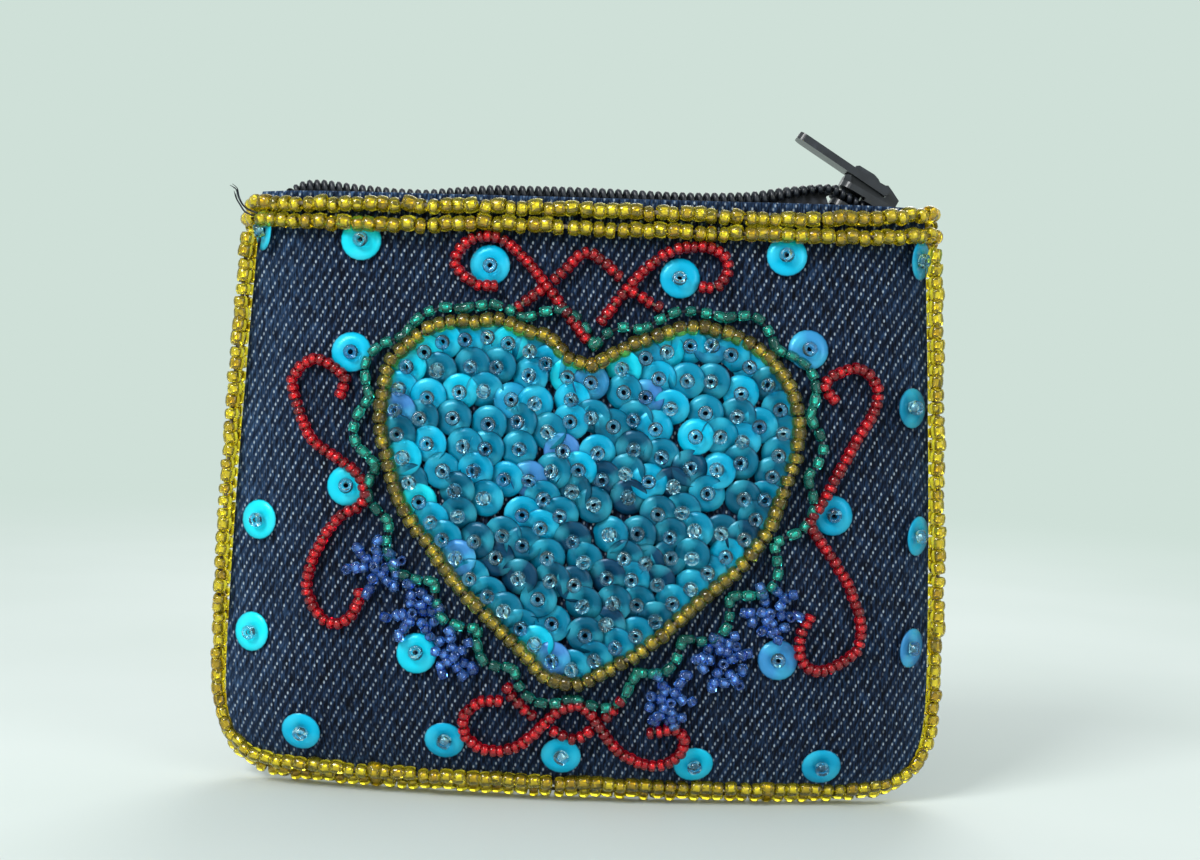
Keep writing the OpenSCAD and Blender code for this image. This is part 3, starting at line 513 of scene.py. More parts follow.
def new_tree(name, inputs):
    """A geometry tree with a geometry input, the named inputs and a geometry output."""
    tree = bpy.data.node_groups.new(name, "GeometryNodeTree")
    make = tree.interface.new_socket
    make("Geometry", in_out="INPUT", socket_type="NodeSocketGeometry")
    for label, value in inputs.items():
        socket = make(label, in_out="INPUT", socket_type=SOCKETS[type(value)])
        if value is not None:
            socket.default_value = value
    make("Geometry", in_out="OUTPUT", socket_type="NodeSocketGeometry")
    return tree, tree.nodes.new("NodeGroupInput").outputs


def end_tree(tree, geometry):
    """Ends a tree at its output."""
    add(tree, "NodeGroupOutput", (geometry,))
    return tree


def washer(tree, given):
    """The middle radius and the width of a ring as wide as Diameter round a Hole."""
    total = add(tree, "Math ADD", (given["Diameter"], given["Hole"]))
    spare = add(tree, "Math SUBTRACT", (given["Diameter"], given["Hole"]))
    return add(tree, "Math MULTIPLY", (total, 0.25)), add(tree, "Math MULTIPLY", (spare, 0.5))


def off_axis(tree):
    """Each point's way from the Z axis, and how far off it is."""
    at = add(tree, "InputPosition")
    flat = add(tree, "VectorMath MULTIPLY", (at, (1.0, 1.0, 0.0)))
    return flat, add(tree, "VectorMath LENGTH", (flat,), "Value")


def aimed_points(tree, given):
    """The object's vertices as points, and the aim that each holds."""
    dots = add(tree, "MeshToPoints", {"Mesh": given["Geometry"]})
    return dots, add(tree, "InputNamedAttribute", {"Name": "aim"}, data_type="FLOAT_VECTOR")


def facing(tree, aim, angles):
    """A turn that points Z along aim, after a turn by angles."""
    turned = add(tree, "AlignRotationToVector", {"Vector": aim}, axis="Z")
    lean = add(tree, "EulerToRotation", {"Euler": angles})
    both = {"Rotation": turned, "Rotate By": lean}
    return add(tree, "RotateRotation", both, rotation_space="LOCAL")


def tube(tree, line, radius, sides, girth, material):
    """A smooth tube along a line, as thick as its girth says, with closed ends."""
    ring = add(tree, "CurvePrimitiveCircle", {"Resolution": sides, "Radius": radius}, mode="RADIUS")
    skin = {"Curve": line, "Profile Curve": ring, "Scale": girth, "Fill Caps": True}
    shaded = add(tree, "SetShadeSmooth", {"Geometry": add(tree, "CurveToMesh", skin)})
    return add(tree, "SetMaterial", {"Geometry": shaded, "Material": material})


BEAD_SIZES = {
    "Diameter": 2.3 * MM, "Length": 1.5 * MM, "Hole": 0.9 * MM, "Glass": None, "Lining": None,
}
# how far a bead leans in radians, its size varies as a share, and it strays
BEAD_WAYS = {"Lean": 0.2, "Uneven": 0.15, "Jitter": 0.0, "Seed": 1}


def seed_bead_tree():
    """One seed bead with its hole along Z: a rounded ring of glass, its hole silvered."""
    tree, given = new_tree("seed_bead", BEAD_SIZES)
    middle, wall = washer(tree, given)
    ring = add(tree, "CurvePrimitiveCircle", {"Resolution": 12, "Radius": middle}, mode="RADIUS")
    unit = {"Width": 1.0, "Height": 1.0}
    section = add(tree, "CurvePrimitiveQuadrilateral", unit, mode="RECTANGLE")
    rounded = add(tree, "FilletCurve", {"Curve": section, "Count": 1, "Radius": 0.3}, mode="POLY")
    stretch = add(tree, "CombineXYZ", {"X": wall, "Y": given["Length"], "Z": 1.0})
    oval = add(tree, "Transform", {"Geometry": rounded, "Scale": stretch})
    body = add(tree, "CurveToMesh", {"Curve": ring, "Profile Curve": oval})
    shaded = add(tree, "SetShadeSmooth", {"Geometry": body})
    glass = add(tree, "SetMaterial", {"Geometry": shaded, "Material": given["Glass"]})
    # what lies nearest to the axis is the wall of the hole
    _, off = off_axis(tree)
    share = add(tree, "Math MULTIPLY", (given["Hole"], 0.52))
    inner = add(tree, "Math LESS_THAN", (off, share))
    hole = {"Geometry": glass, "Selection": inner, "Material": given["Lining"]}
    return end_tree(tree, add(tree, "SetMaterial", hole))


SEED_BEAD = seed_bead_tree()


def set_beads(tree, points, aim, given):
    """Puts a bead on each point, its hole along aim, each cut and lying a little its own way."""
    one = tree.nodes.new("GeometryNodeGroup")
    one.node_tree = SEED_BEAD
    for label in BEAD_SIZES:
        tree.links.new(given[label], one.inputs[label])
    least, most = (-1.0, -1.0, -3.1), (1.0, 1.0, 3.1)
    ways = {0: least, 1: most, "Seed": given["Seed"]}
    lean = add(tree, "RandomValue", ways, data_type="FLOAT_VECTOR")
    amount = add(tree, "CombineXYZ", {"X": given["Lean"], "Y": given["Lean"], "Z": 1.0})
    rotation = facing(tree, aim, add(tree, "VectorMath MULTIPLY", (lean, amount)))
    seed_two = add(tree, "Math ADD", (given["Seed"], 7.0))
    low = add(tree, "Math SUBTRACT", (1.0, given["Uneven"]))
    high = add(tree, "Math ADD", (1.0, given["Uneven"]))
    thin = add(tree, "Math MULTIPLY_ADD", (given["Uneven"], -0.35, 1.0))
    least = add(tree, "CombineXYZ", {"X": thin, "Y": thin, "Z": low})
    most = add(tree, "CombineXYZ", {"X": 1.0, "Y": 1.0, "Z": high})
    sizes = {0: least, 1: most, "Seed": seed_two}
    size = add(tree, "RandomValue", sizes, data_type="FLOAT_VECTOR")
    strays = {0: (-1.0, -1.0, -1.0), 1: (1.0, 1.0, 1.0), "Seed": seed_two}
    drift = add(tree, "RandomValue", strays, data_type="FLOAT_VECTOR")
    step = add(tree, "VectorMath SCALE", {0: drift, "Scale": given["Jitter"]})
    strayed = add(tree, "SetPosition", {"Geometry": points, "Offset": step})
    seats = {"Points": strayed, "Instance": one.outputs[0], "Rotation": rotation, "Scale": size}
    placed = add(tree, "InstanceOnPoints", seats)
    tint = add(tree, "RandomValue", {2: 0.0, 3: 1.0, "Seed": seed_two}, 1, data_type="FLOAT")
    tinted = {"Geometry": placed, "Name": "tint", "Value": tint}
    marked = add(tree, "StoreNamedAttribute", tinted, data_type="FLOAT", domain="INSTANCE")
    return add(tree, "RealizeInstances", {"Geometry": marked})


def threaded_beads_tree():
    """Beads on a thread: the object's line is shared into pitches, with a bead on each."""
    thread = {"Pitch": 1.85 * MM, "Thread": 0.28 * MM, "Yarn": None}
    tree, given = new_tree("threaded_beads", BEAD_SIZES | BEAD_WAYS | thread)
    line = add(tree, "MeshToCurve", {"Mesh": given["Geometry"]})
    spaced = add(tree, "ResampleCurve", {"Curve": line, "Length": given["Pitch"]}, mode="LENGTH")
    dots = add(tree, "CurveToPoints", {"Curve": spaced}, mode="EVALUATED")
    beads = set_beads(tree, dots, dots.node.outputs["Tangent"], given)
    round_yarn = {"Resolution": 5, "Radius": given["Thread"]}
    ring = add(tree, "CurvePrimitiveCircle", round_yarn, mode="RADIUS")
    yarn = add(tree, "CurveToMesh", {"Curve": spaced, "Profile Curve": ring, "Fill Caps": True})
    threaded = add(tree, "SetMaterial", {"Geometry": yarn, "Material": given["Yarn"]})
    joined = tree.nodes.new("GeometryNodeJoinGeometry")
    tree.links.new(beads, joined.inputs[0])
    tree.links.new(threaded, joined.inputs[0])
    return end_tree(tree, joined.outputs[0])


def sewn_beads_tree():
    """Beads sewn one by one: each point holds a bead, its hole along the point's aim."""
    tree, given = new_tree("sewn_beads", BEAD_SIZES | BEAD_WAYS)
    return end_tree(tree, set_beads(tree, *aimed_points(tree, given), given))


# the way the painted highlight fan lies on every sequin
PAINTED_GLARE_WAY = (-0.6, 0.8, 0.0)


def sequins_tree():
    """Sequins: each point holds a shallow stamped disc with a hole, its back along aim."""
    tree, given = new_tree("sequins", {
        "Diameter": SEQUIN_D * MM, "Hole": 1.0 * MM, "Flat": 3.4 * MM, "Cup": 0.12 * MM,
        "Thickness": 0.07 * MM, "Film": None,
    })
    middle, wide = washer(tree, given)
    ring = add(tree, "CurvePrimitiveCircle", {"Resolution": 20, "Radius": middle}, mode="RADIUS")
    strip = {"Width": wide, "Height": given["Thickness"]}
    section = add(tree, "CurvePrimitiveQuadrilateral", strip, mode="RECTANGLE")
    cut = add(tree, "SubdivideCurve", {"Curve": section, "Cuts": 1})
    disc = add(tree, "CurveToMesh", {"Curve": ring, "Profile Curve": cut})
    flat, off = off_axis(tree)
    from_flat = add(tree, "Math MULTIPLY", (given["Flat"], 0.5))
    to_rim = add(tree, "Math MULTIPLY", (given["Diameter"], 0.5))
    slope = {"Value": off, "From Min": from_flat, "From Max": to_rim, "To Max": given["Cup"]}
    lift = add(tree, "CombineXYZ", {"Z": add(tree, "MapRange", slope)})
    disc = add(tree, "SetPosition", {"Geometry": disc, "Offset": lift})
    # a painted highlight fan: how far round each point is from the way its fine radial grain would
    # throw the light
    ray = add(tree, "VectorMath NORMALIZE", (flat,))
    along = add(tree, "VectorMath DOT_PRODUCT", (ray, PAINTED_GLARE_WAY), "Value")
    marks = {
        "far": add(tree, "Math DIVIDE", (off, to_rim)),
        "painted_glare": add(tree, "Math MULTIPLY", (along, along)),
    }
    for label, value in marks.items():
        mark = {"Geometry": disc, "Name": label, "Value": value}
        disc = add(tree, "StoreNamedAttribute", mark, data_type="FLOAT", domain="POINT")
    filmed = add(tree, "SetMaterial", {"Geometry": disc, "Material": given["Film"]})
    dots, aim = aimed_points(tree, given)
    turns = {0: (0.0, 0.0, -0.8), 1: (0.0, 0.0, 0.8), "Seed": 5}
    spin = add(tree, "RandomValue", turns, data_type="FLOAT_VECTOR")
    seats = {"Points": dots, "Instance": filmed, "Rotation": facing(tree, aim, spin)}
    placed = add(tree, "InstanceOnPoints", seats)
    return end_tree(tree, add(tree, "RealizeInstances", {"Geometry": placed}))


def strand_tree():
    """A strand of thread along the object's lines, as thick as each point's girth says."""
    tree, given = new_tree("strand", {"Radius": 0.15 * MM, "Yarn": None})
    line = add(tree, "MeshToCurve", {"Mesh": given["Geometry"]})
    girth = add(tree, "InputNamedAttribute", {"Name": "girth"}, data_type="FLOAT")
    return end_tree(tree, tube(tree, line, given["Radius"], 6, girth, given["Yarn"]))


def wound_coil_tree():
    """A zip's coil: flattened turns along a line, each point's heads and thick set their way."""
    tree, given = new_tree("wound_coil", {
        "Turns": COIL_TURNS, "Rings": 14, "Width": COIL_W * MM, "Thickness": COIL_T * MM,
        "Wire": COIL_WIRE * MM, "Head": 0.12, "Nylon": None,
    })
    line = add(tree, "MeshToCurve", {"Mesh": given["Geometry"]})
    count = add(tree, "Math MULTIPLY_ADD", (given["Turns"], given["Rings"], 1.0))
    line = add(tree, "ResampleCurve", {"Curve": line, "Count": count}, mode="COUNT")
    index = add(tree, "InputIndex")
    share = add(tree, "Math DIVIDE", (index, given["Rings"]))
    angle = add(tree, "Math MULTIPLY", (share, 2 * math.pi))
    across = add(tree, "Math COSINE", (angle,))
    deep = add(tree, "Math SINE", (angle,))
    offsets = []
    for label, size, wave in (("heads", "Width", across), ("thick", "Thickness", deep)):
        vector = add(tree, "InputNamedAttribute", {"Name": label}, data_type="FLOAT_VECTOR")
        room = add(tree, "Math SUBTRACT", (given[size], given["Wire"]))
        reach = add(tree, "Math MULTIPLY", (room, 0.5))
        swing = add(tree, "Math MULTIPLY", (reach, wave))
        offsets.append(add(tree, "VectorMath SCALE", {0: vector, "Scale": swing}))
    offset = add(tree, "VectorMath ADD", offsets)
    wound = add(tree, "SetPosition", {"Geometry": line, "Offset": offset})
    # the wire is pressed wider where it forms a head
    crest = add(tree, "Math MAXIMUM", (across, 0.0))
    sharp = add(tree, "Math POWER", (crest, 4.0))
    swell = add(tree, "Math MULTIPLY_ADD", (sharp, given["Head"], 1.0))
    half = add(tree, "Math MULTIPLY", (given["Wire"], 0.5))
    return end_tree(tree, tube(tree, wound, half, 7, swell, given["Nylon"]))


THREADED_BEADS = threaded_beads_tree()
SEWN_BEADS = sewn_beads_tree()
SEQUINS = sequins_tree()
WOUND_COIL = wound_coil_tree()
STRAND = strand_tree()


# Making pieces


def put(name, data):
    """An object in the scene for a mesh, a lamp or a camera."""
    made = bpy.data.objects.new(name, data)
    bpy.context.scene.collection.objects.link(made)
    return made


def line_mesh(lines, **vectors):
    """A mesh of open lines or lone points, with a vector or number on each point."""
    points = [p for line in lines for p in line]
    edges = []
    start = 0
    for line in lines:
        edges += [(start + i, start + i + 1) for i in range(len(line) - 1)]
        start += len(line)
    mesh = bpy.data.meshes.new("plan")
    mesh.from_pydata([p * MM for p in points], edges, [])
    for label, values in vectors.items():
        if isinstance(values[0], float):
            mesh.attributes.new(label, "FLOAT", "POINT").data.foreach_set("value", values)
        else:
            flat = [c for v in values for c in v]
            mesh.attributes.new(label, "FLOAT_VECTOR", "POINT").data.foreach_set("vector", flat)
    return mesh


def grow(name, mesh, tree, **values):
    """Runs a tree on a mesh and keeps the result as a plain mesh."""
    seedling = put(name + "_plan", mesh)
    modifier = seedling.modifiers.new(tree.name, "NODES")
    modifier.node_group = tree
    sockets = {s.name: s.identifier for s in tree.interface.items_tree if s.in_out == "INPUT"}
    for label, value in values.items():
        modifier[sockets[label]] = value
    graph = bpy.context.evaluated_depsgraph_get()
    result = bpy.data.meshes.new_from_object(
        seedling.evaluated_get(graph), preserve_all_data_layers=True, depsgraph=graph
    )
    result.name = name
    bpy.data.objects.remove(seedling)
    return put(name, result)


def on_purse(piece, node):
    """The piece rides the purse and stands for this node."""
    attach(piece, PURSE)
    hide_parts(node)


def thread_beads(
    name, lines, seed, node, glass, slot, yarn, size, length, pitch, lean, uneven, stray
):
    """A piece made of beads on threads along lines of points."""
    piece = grow(
        name, line_mesh(lines), THREADED_BEADS, Diameter=size * MM, Length=length * MM,
        Hole=size * 0.4 * MM, Glass=glass[0], Lining=glass[1], Pitch=pitch * MM, Lean=lean,
        Uneven=uneven, Jitter=stray * MM, Seed=seed, Thread=size * 0.13 * MM, Yarn=yarn,
    )
    on_purse(piece, node)


def sew_beads(name, middles, aims, seed, node, glass, slot, size, hole, lean, uneven, stray):
    """A piece made of beads sewn one by one, each with its own aim."""
    piece = grow(
        name, line_mesh([[m] for m in middles], aim=aims), SEWN_BEADS, Diameter=size * MM,
        Length=SEWN_BEAD_LEN * MM, Hole=size * hole * MM, Glass=glass[0], Lining=glass[1],
        Lean=lean, Uneven=uneven, Jitter=stray * MM, Seed=seed,
    )
    on_purse(piece, node)


def sheet_mesh(name, rows):
    """A skin over rows of points, each row as long as the next."""
    wide = len(rows[0])
    corners = [j * wide + i for j in range(len(rows) - 1) for i in range(wide - 1)]
    mesh = bpy.data.meshes.new(name)
    faces = [(a, a + 1, a + wide + 1, a + wide) for a in corners]
    mesh.from_pydata([p * MM for row in rows for p in row], [], faces)
    return mesh


# steps in the rolled edge at the mouth
ROLL_STEPS = 6


def panel_piece(name, side, outer, inner, drop, cols, rows, material):
    """One layer of a panel as a closed shell, its upper edge rolled over."""
    thick = inner - outer
    columns = [math.sin(math.radians(90 * (2 * i / cols - 1))) for i in range(cols + 1)]

    def row_at(v, depth, lift=0.0):
        out = []
        for s in columns:
            foot = seam_low(s * PURSE_W / 2)
            top = mouth_line(s * MOUTH_W / 2) - drop - thick / 2
            z = foot + (top - foot) * v
            p = on_panel(s * half_w(z), z, side, depth)
            out.append(p + Vector((0, 0, lift)))
        return out

    shares = [(j / rows + 1 - math.cos(math.radians(90 * j / rows))) / 2 for j in range(rows + 1)]
    strip = [row_at(v, outer) for v in shares]
    for k in range(1, ROLL_STEPS):
        turn = math.pi * k / ROLL_STEPS
        depth = outer + thick / 2 * (1 - math.cos(turn))
        strip.append(row_at(1, depth, thick / 2 * math.sin(turn)))
    strip += [row_at(v, inner) for v in reversed(shares)]
    wide = cols + 1
    total = len(strip)
    faces = []
    for j in range(total):
        a, b = j * wide, (j + 1) % total * wide
        faces += [(a + i, a + i + 1, b + i + 1, b + i) for i in range(cols)]
    # the two ends: a ladder from layer to layer, and a cap on the roll
    for i in (0, cols):
        for j in range(rows):
            a, b = j * wide + i, (j + 1) * wide + i
            c, d = (total - 2 - j) * wide + i, (total - 1 - j) * wide + i
            faces.append((a, b, c, d))
        faces.append(tuple((rows + k) * wide + i for k in range(ROLL_STEPS + 1)))
    mesh = bpy.data.meshes.new(name)
    mesh.from_pydata([p * MM for row in strip for p in row], [], faces)
    mesh.update()
    weave_map(mesh)
    wear_map(mesh)
    square_up(mesh)
    mesh.materials.append(material)
    return put(name, mesh)


def square_up(mesh):
    """Turns the faces outwards and makes them smooth."""
    work = bmesh.new()
    work.from_mesh(mesh)
    bmesh.ops.recalc_face_normals(work, faces=work.faces)
    work.to_mesh(mesh)
    work.free()
    mesh.polygons.foreach_set("use_smooth", [True] * len(mesh.polygons))


# what a millimetre of bulge takes up of the cloth's length
BULGE_TAKES = 0.15


def weave_map(mesh):
    """A map whose unit square is one weft dot, laid along the cloth."""
    layer = mesh.uv_layers.new(name="weave")
    for loop in mesh.loops:
        p = mesh.vertices[loop.vertex_index].co / MM
        x, z = p.x, p.z - abs(p.y) * BULGE_TAKES
        layer.data[loop.index].uv = ((x - TWILL_STEP / TWILL_UP * z) / TWILL_ACROSS, z / TWILL_UP)


# the denim is paler towards the left side, from here outwards, over this width, by this much
PALER_FROM, PALER_OVER, PALER_BY = 38, 14, 0.6
# how much the seam's edge has faded, and how far down from the mouth its fold has
EDGE_WEAR = 0.8
FOLD_WEAR = 1.2


def wear_map(mesh):
    """Where the denim is paler: the indigo rubbed pale along the seam's edges and the mouth's fold,
    and paler towards the left side.
    """
    values = []
    for vertex in mesh.vertices:
        x, _, z = vertex.co / MM
        edge = outness(x, z) ** 9
        fold = max(0, 1 - (mouth_line(x) - z) / FOLD_WEAR)
        left = clamp((-x - PALER_FROM) / PALER_OVER) * PALER_BY
        values.append(min(1.0, edge * EDGE_WEAR + fold + left))
    mesh.attributes.new("wear", "FLOAT", "POINT").data.foreach_set("value", values)


DENIM_GRID = (150, 110)
LINING_GRID = (60, 40)
for side, where in SIDES:
    denim = panel_piece(f"denim_{where}", side, 0, DENIM_T, 0, *DENIM_GRID, DENIM)
    on_purse(denim, f"{where}_panel")
for side, where in SIDES:
    outer, drop = DENIM_T + LAYER_GAP, TAPE_REACH + TAPE_T
    inner = outer + LINING_T
    inside = panel_piece(f"lining_{where}", side, outer, inner, drop, *LINING_GRID, LINING)
    on_purse(inside, f"{where}_lining")


# Seam and mouth beads

OUTLINE_STEPS = 60
SEAM_TOP = 7.3


def seam_side(sgn):
    """The seam from under the mouth down one side and round the corner, as places."""
    knee = SEAM_Z + BELLY_REACH
    top = mouth_line(sgn * MOUTH_W / 2) - SEAM_TOP
    out = []
    for k in range(OUTLINE_STEPS):
        z = top + (knee - top) * k / OUTLINE_STEPS
        out.append((sgn * half_w(z), z))
    for k in range(OUTLINE_STEPS + 1):
        turn = math.pi / 2 * k / OUTLINE_STEPS
        z = SEAM_Z + BELLY_REACH * (1 - math.sin(turn) ** (2 / CORNER_POWER))
        inward = BELLY_REACH * (1 - max(0, math.cos(turn)) ** (2 / CORNER_POWER))
        out.append((sgn * (half_w(z) - inward), z))
    return out


def seam_bottom():
    """The straight run of the bottom seam, as places."""
    end = PURSE_W / 2 - BELLY_REACH
    return [(-end + 2 * end * k / OUTLINE_STEPS, SEAM_Z) for k in range(OUTLINE_STEPS + 1)]


def over_seam(path, side):
    """Bead middles along the seam, beside one panel's edge."""
    out = []
    for i, (x, z) in enumerate(path):
        a, b = path[max(0, i - 1)], path[min(len(path) - 1, i + 1)]
        t = Vector((b[0] - a[0], b[1] - a[1])).normalized()
        n = Vector((-t.y, t.x))
        if n.dot(Vector((x, z - PURSE_H / 2))) < 0:
            n = -n
        p = Vector((x, z)) + n * (SEAM_BEAD / 2 + SEAM_BEAD_SEAT)
        out.append(Vector((p.x, bow(x, z) + side * (SEAM_BEAD / 2 + LAYER_GAP), p.y)))
    return out


# how far the front row climbs the cloth along the foot, how far out the rows stand, and over
# what height a bead comes forward from the edge to the cloth's face
FRONT_RISE_LEFT, FRONT_RISE_RIGHT = 2.6, 1.3
OUT_LEFT, OUT_RIGHT = -0.08, 0.0
BACK_OUT = 0.15
CLIMB = 0.9


def front_seam(path):
    """The front row, level with the cloth's face: beside it up the sides, on it at the foot."""
    out = []
    for (x, z), beside in zip(path, over_seam(path, -1)):
        foot = clamp(1 - (z - SEAM_Z) / BELLY_REACH) ** 2
        beside.x += (OUT_LEFT if x < 0 else OUT_RIGHT) * (1 - foot)
        rise = FRONT_RISE_LEFT + (FRONT_RISE_RIGHT - FRONT_RISE_LEFT) * (x / PURSE_W + 0.5)
        up = (beside.x, beside.z + rise * foot)
        clear = clamp((up[1] - seam_low(up[0])) / CLIMB)
        y = beside.y
        if clear > 0:
            y += (over_panel(up, -1, BEAD_SEAT + SEAM_BEAD / 2).y - y) * clear
        out.append(Vector((up[0], y, up[1])))
    return out


def back_seam(path):
    """The back row, just behind the front one up the sides."""
    out = over_seam(path, 1)
    for (x, z), p in zip(path, out):
        foot = clamp(1 - (z - SEAM_Z) / BELLY_REACH) ** 2
        p.x += (OUT_LEFT - BACK_OUT if x < 0 else OUT_RIGHT + BACK_OUT) * (1 - foot)
    return out


SEAM_ROW = dict(
    glass=YELLOW, slot="yellow_beads", yarn=PALE_THREAD, size=SEAM_BEAD, length=SEAM_BEAD_LEN,
    pitch=SEAM_BEAD_PITCH, lean=0.2, uneven=0.26, stray=0.2,
)
SEAM_PATHS = {"left": seam_side(-1), "bottom": seam_bottom(), "right": seam_side(1)}
for seed, (part, path) in enumerate(SEAM_PATHS.items(), 11):
    rows = [front_seam(path), back_seam(path)]
    thread_beads(f"seam_row_{part}", rows, seed, f"seam_beads_{part}", **SEAM_ROW)


def between(table, x):
    """A value from a table of (place, value) pairs."""
    if x <= table[0][0]:
        return table[0][1]
    for (a, va), (b, vb) in zip(table, table[1:]):
        if x <= b:
            return va + (vb - va) * (x - a) / (b - a)
    return table[-1][1]


MOUTH_DROPS = {"upper": SEAM_BEAD * 0.95, "lower": SEAM_BEAD * 2.13}
MOUTH_ROW_END = 1.2
MOUTH_BEAD = 2.5
# the front rows aren't quite straight, and curl up at the zip's open end
ROW_SAGS = {
    "upper": [(-50, 0.1), (-15, 0.3), (0, 0.1), (15, 0), (30, -0.6), (42, 0.1), (50, 1.4)],
    "lower": [
        (-50, 0.6), (-38, 0.1), (-30, -0.2), (-15, 0.6), (0, 0.2), (30, -0.2), (42, 0), (50, 0.9),
    ],
}


def mouth_row(side, drop, sags):
    """Bead middles along one side of the mouth, round both corners."""
    end = MOUTH_W / 2 - MOUTH_ROW_END
    r = SEAM_BEAD / 2 + BEAD_SEAT
    near, far = r / math.sqrt(2), SEAM_BEAD / 2 + LAYER_GAP
    line = []
    for k in range(2 * OUTLINE_STEPS + 1):
        x = end * math.sin(math.pi / 2 * (k / OUTLINE_STEPS - 1))
        z = mouth_line(x) - drop + between(sags, x)
        line.append(over_panel((x, z), side, BEAD_SEAT + SEAM_BEAD / 2))
    for sgn in (-1, 1):
        z = mouth_line(sgn * end) - drop + between(sags, sgn * MOUTH_W / 2)
        corner = [
            Vector((sgn * (half_w(z) + near), side * (SEAM_HALF + near), z)),
            Vector((sgn * (half_w(z) + r), side * far, z)),
        ]
        line = line + corner if sgn > 0 else corner[::-1] + line
    return line


MOUTH_ROW = SEAM_ROW | dict(size=MOUTH_BEAD, lean=0.26, stray=0.26)
mouth_rows = [(side, where, row) for side, where in SIDES for row in MOUTH_DROPS]
for seed, (side, where, row) in enumerate(mouth_rows, 21):
    line = mouth_row(side, MOUTH_DROPS[row], ROW_SAGS[row] if side < 0 else [(0, 0)])
    node = f"mouth_beads_{where}_{row}"
    thread_beads(f"mouth_row_{where}_{row}", [line], seed, node, **MOUTH_ROW)


# The heart and the scallops round it

HEART_PX = [
    (592, 367), (566, 358), (549, 339), (522, 332), (501, 320), (479, 324), (453, 323),
    (427, 331), (406, 348), (389, 366), (383, 398), (382, 432), (392, 476), (405, 512),
    (429, 544), (457, 584), (490, 619), (522, 651), (548, 677), (578, 682), (611, 667),
    (652, 643), (694, 606), (736, 571), (768, 530), (786, 484), (797, 446), (796, 408),
    (780, 373), (750, 346), (722, 334), (693, 329), (664, 336), (635, 346), (609, 359),
]
heart_places = [place(p) for p in HEART_PX]


def over_front(places, lift):
    """Places on the front as points lifted off the cloth."""
    return [over_panel(p, -1, lift) for p in places]


HEART_ROW = dict(
    glass=GOLD, slot="gold_beads", yarn=PALE_THREAD, size=HEART_BEAD, length=1.55, pitch=1.75,
    lean=0.2, uneven=0.18, stray=0.12,
)
heart_line = over_front(smooth(heart_places, True, 3), BEAD_SEAT + HEART_BEAD / 2)
thread_beads("heart_outline", [heart_line], 31, "heart_outline_beads", **HEART_ROW)

SCALLOP_PX = [
    (594, 348), (526, 319), (464, 310), (406, 336), (370, 398), (377, 465), (389, 521),
    (436, 583), (477, 628), (513, 668), (573, 697), (636, 672), (681, 640), (729, 597),
    (774, 543), (807, 478), (809, 420), (775, 350), (725, 320), (643, 331),
]
SCALLOP_RISES = [
    0.3, 0.13, 0.2, 0.3, 0.3, 0.26, 0.32, 0.32, 0.32, 0.3,
    0.33, 0.3, 0.36, 0.38, 0.3, 0.24, 0.28, 0.3, 0.16, 0.2,
]
SCALLOP_STEPS = 12
CUSP = 0.05


def scallop(i):
    """One scallop from cusp to cusp, as places."""
    a, b = place(SCALLOP_PX[i]), place(SCALLOP_PX[(i + 1) % len(SCALLOP_PX)])
    along = (b[0] - a[0], b[1] - a[1])
    out = (along[1] * SCALLOP_RISES[i], -along[0] * SCALLOP_RISES[i])
    line = []
    for k in range(SCALLOP_STEPS + 1):
        t = CUSP + (1 - 2 * CUSP) * k / SCALLOP_STEPS
        bulge = math.sin(math.pi * t)
        line.append((a[0] + along[0] * t + out[0] * bulge, a[1] + along[1] * t + out[1] * bulge))
    return line


SCALLOP_ROW = dict(
    glass=GREEN, slot="green_beads", yarn=DARK_THREAD, size=SCALLOP_BEAD, length=1.75, pitch=1.95,
    lean=0.14, uneven=0.24, stray=0.1,
)
scallops = [over_front(scallop(i), BEAD_SEAT + SCALLOP_BEAD / 2) for i in range(len(SCALLOP_PX))]
thread_beads("scallop_line", scallops, 32, "scallop_beads", **SCALLOP_ROW)


# The red scrolls, each a list of threads

SCROLLS = {
    "left": [[
        (341, 395), (346, 379), (335, 368), (318, 359), (303, 366), (293, 384), (300, 410),
        (311, 438), (332, 454), (354, 470), (364, 486), (362, 503), (338, 519), (319, 546),
        (309, 571), (308, 597), (322, 620), (342, 624), (357, 606), (358, 594),
    ]],
    "right": [[
        (833, 401), (823, 388), (835, 376), (858, 370), (875, 389), (872, 413), (856, 440),
        (838, 473), (820, 506), (809, 525), (826, 552), (846, 586), (858, 622), (857, 650),
        (838, 667), (812, 673), (799, 655), (802, 632), (809, 619),
    ]],
    "top_left": [[
        (495, 287), (474, 284), (456, 266), (461, 248), (480, 237), (504, 241), (527, 262),
        (547, 287), (566, 314), (586, 340),
    ]],
    "top_right": [[
        (702, 288), (718, 287), (728, 271), (720, 254), (696, 248), (668, 254), (642, 274),
        (621, 297), (602, 322),
    ]],
    "top_peak": [
        [(519, 307), (540, 292)],
        [(555, 280), (569, 267), (586, 253), (604, 264), (619, 277)],
        [(634, 294), (658, 308)],
    ],
    "bottom_long": [[
        (498, 701), (480, 701), (463, 717), (467, 738), (488, 750), (511, 747), (533, 734),
        (549, 717), (567, 706), (584, 707), (600, 728), (621, 753), (644, 764), (668, 763),
        (683, 746), (676, 730), (650, 732),
    ]],
    "bottom_cross": [
        [(507, 688), (519, 704), (532, 714)],
        [(554, 730), (572, 738), (588, 731)],
        [(606, 716), (620, 701)],
    ],
}
SCROLL_ROW = dict(
    glass=RED, slot="red_beads", yarn=PALE_THREAD, size=SCROLL_BEAD, length=1.0, pitch=1.18,
    lean=0.18, uneven=0.16, stray=0.1,
)
for seed, (where, threads) in enumerate(SCROLLS.items(), 41):
    curves = [smooth([place(p) for p in thread]) for thread in threads]
    lines = [over_front(curve, BEAD_SEAT + SCROLL_BEAD / 2) for curve in curves]
    thread_beads(f"scroll_line_{where}", lines, seed, f"scroll_{where}", **SCROLL_ROW)


# Flowers: rings of beads that stand out from a middle, each its own way

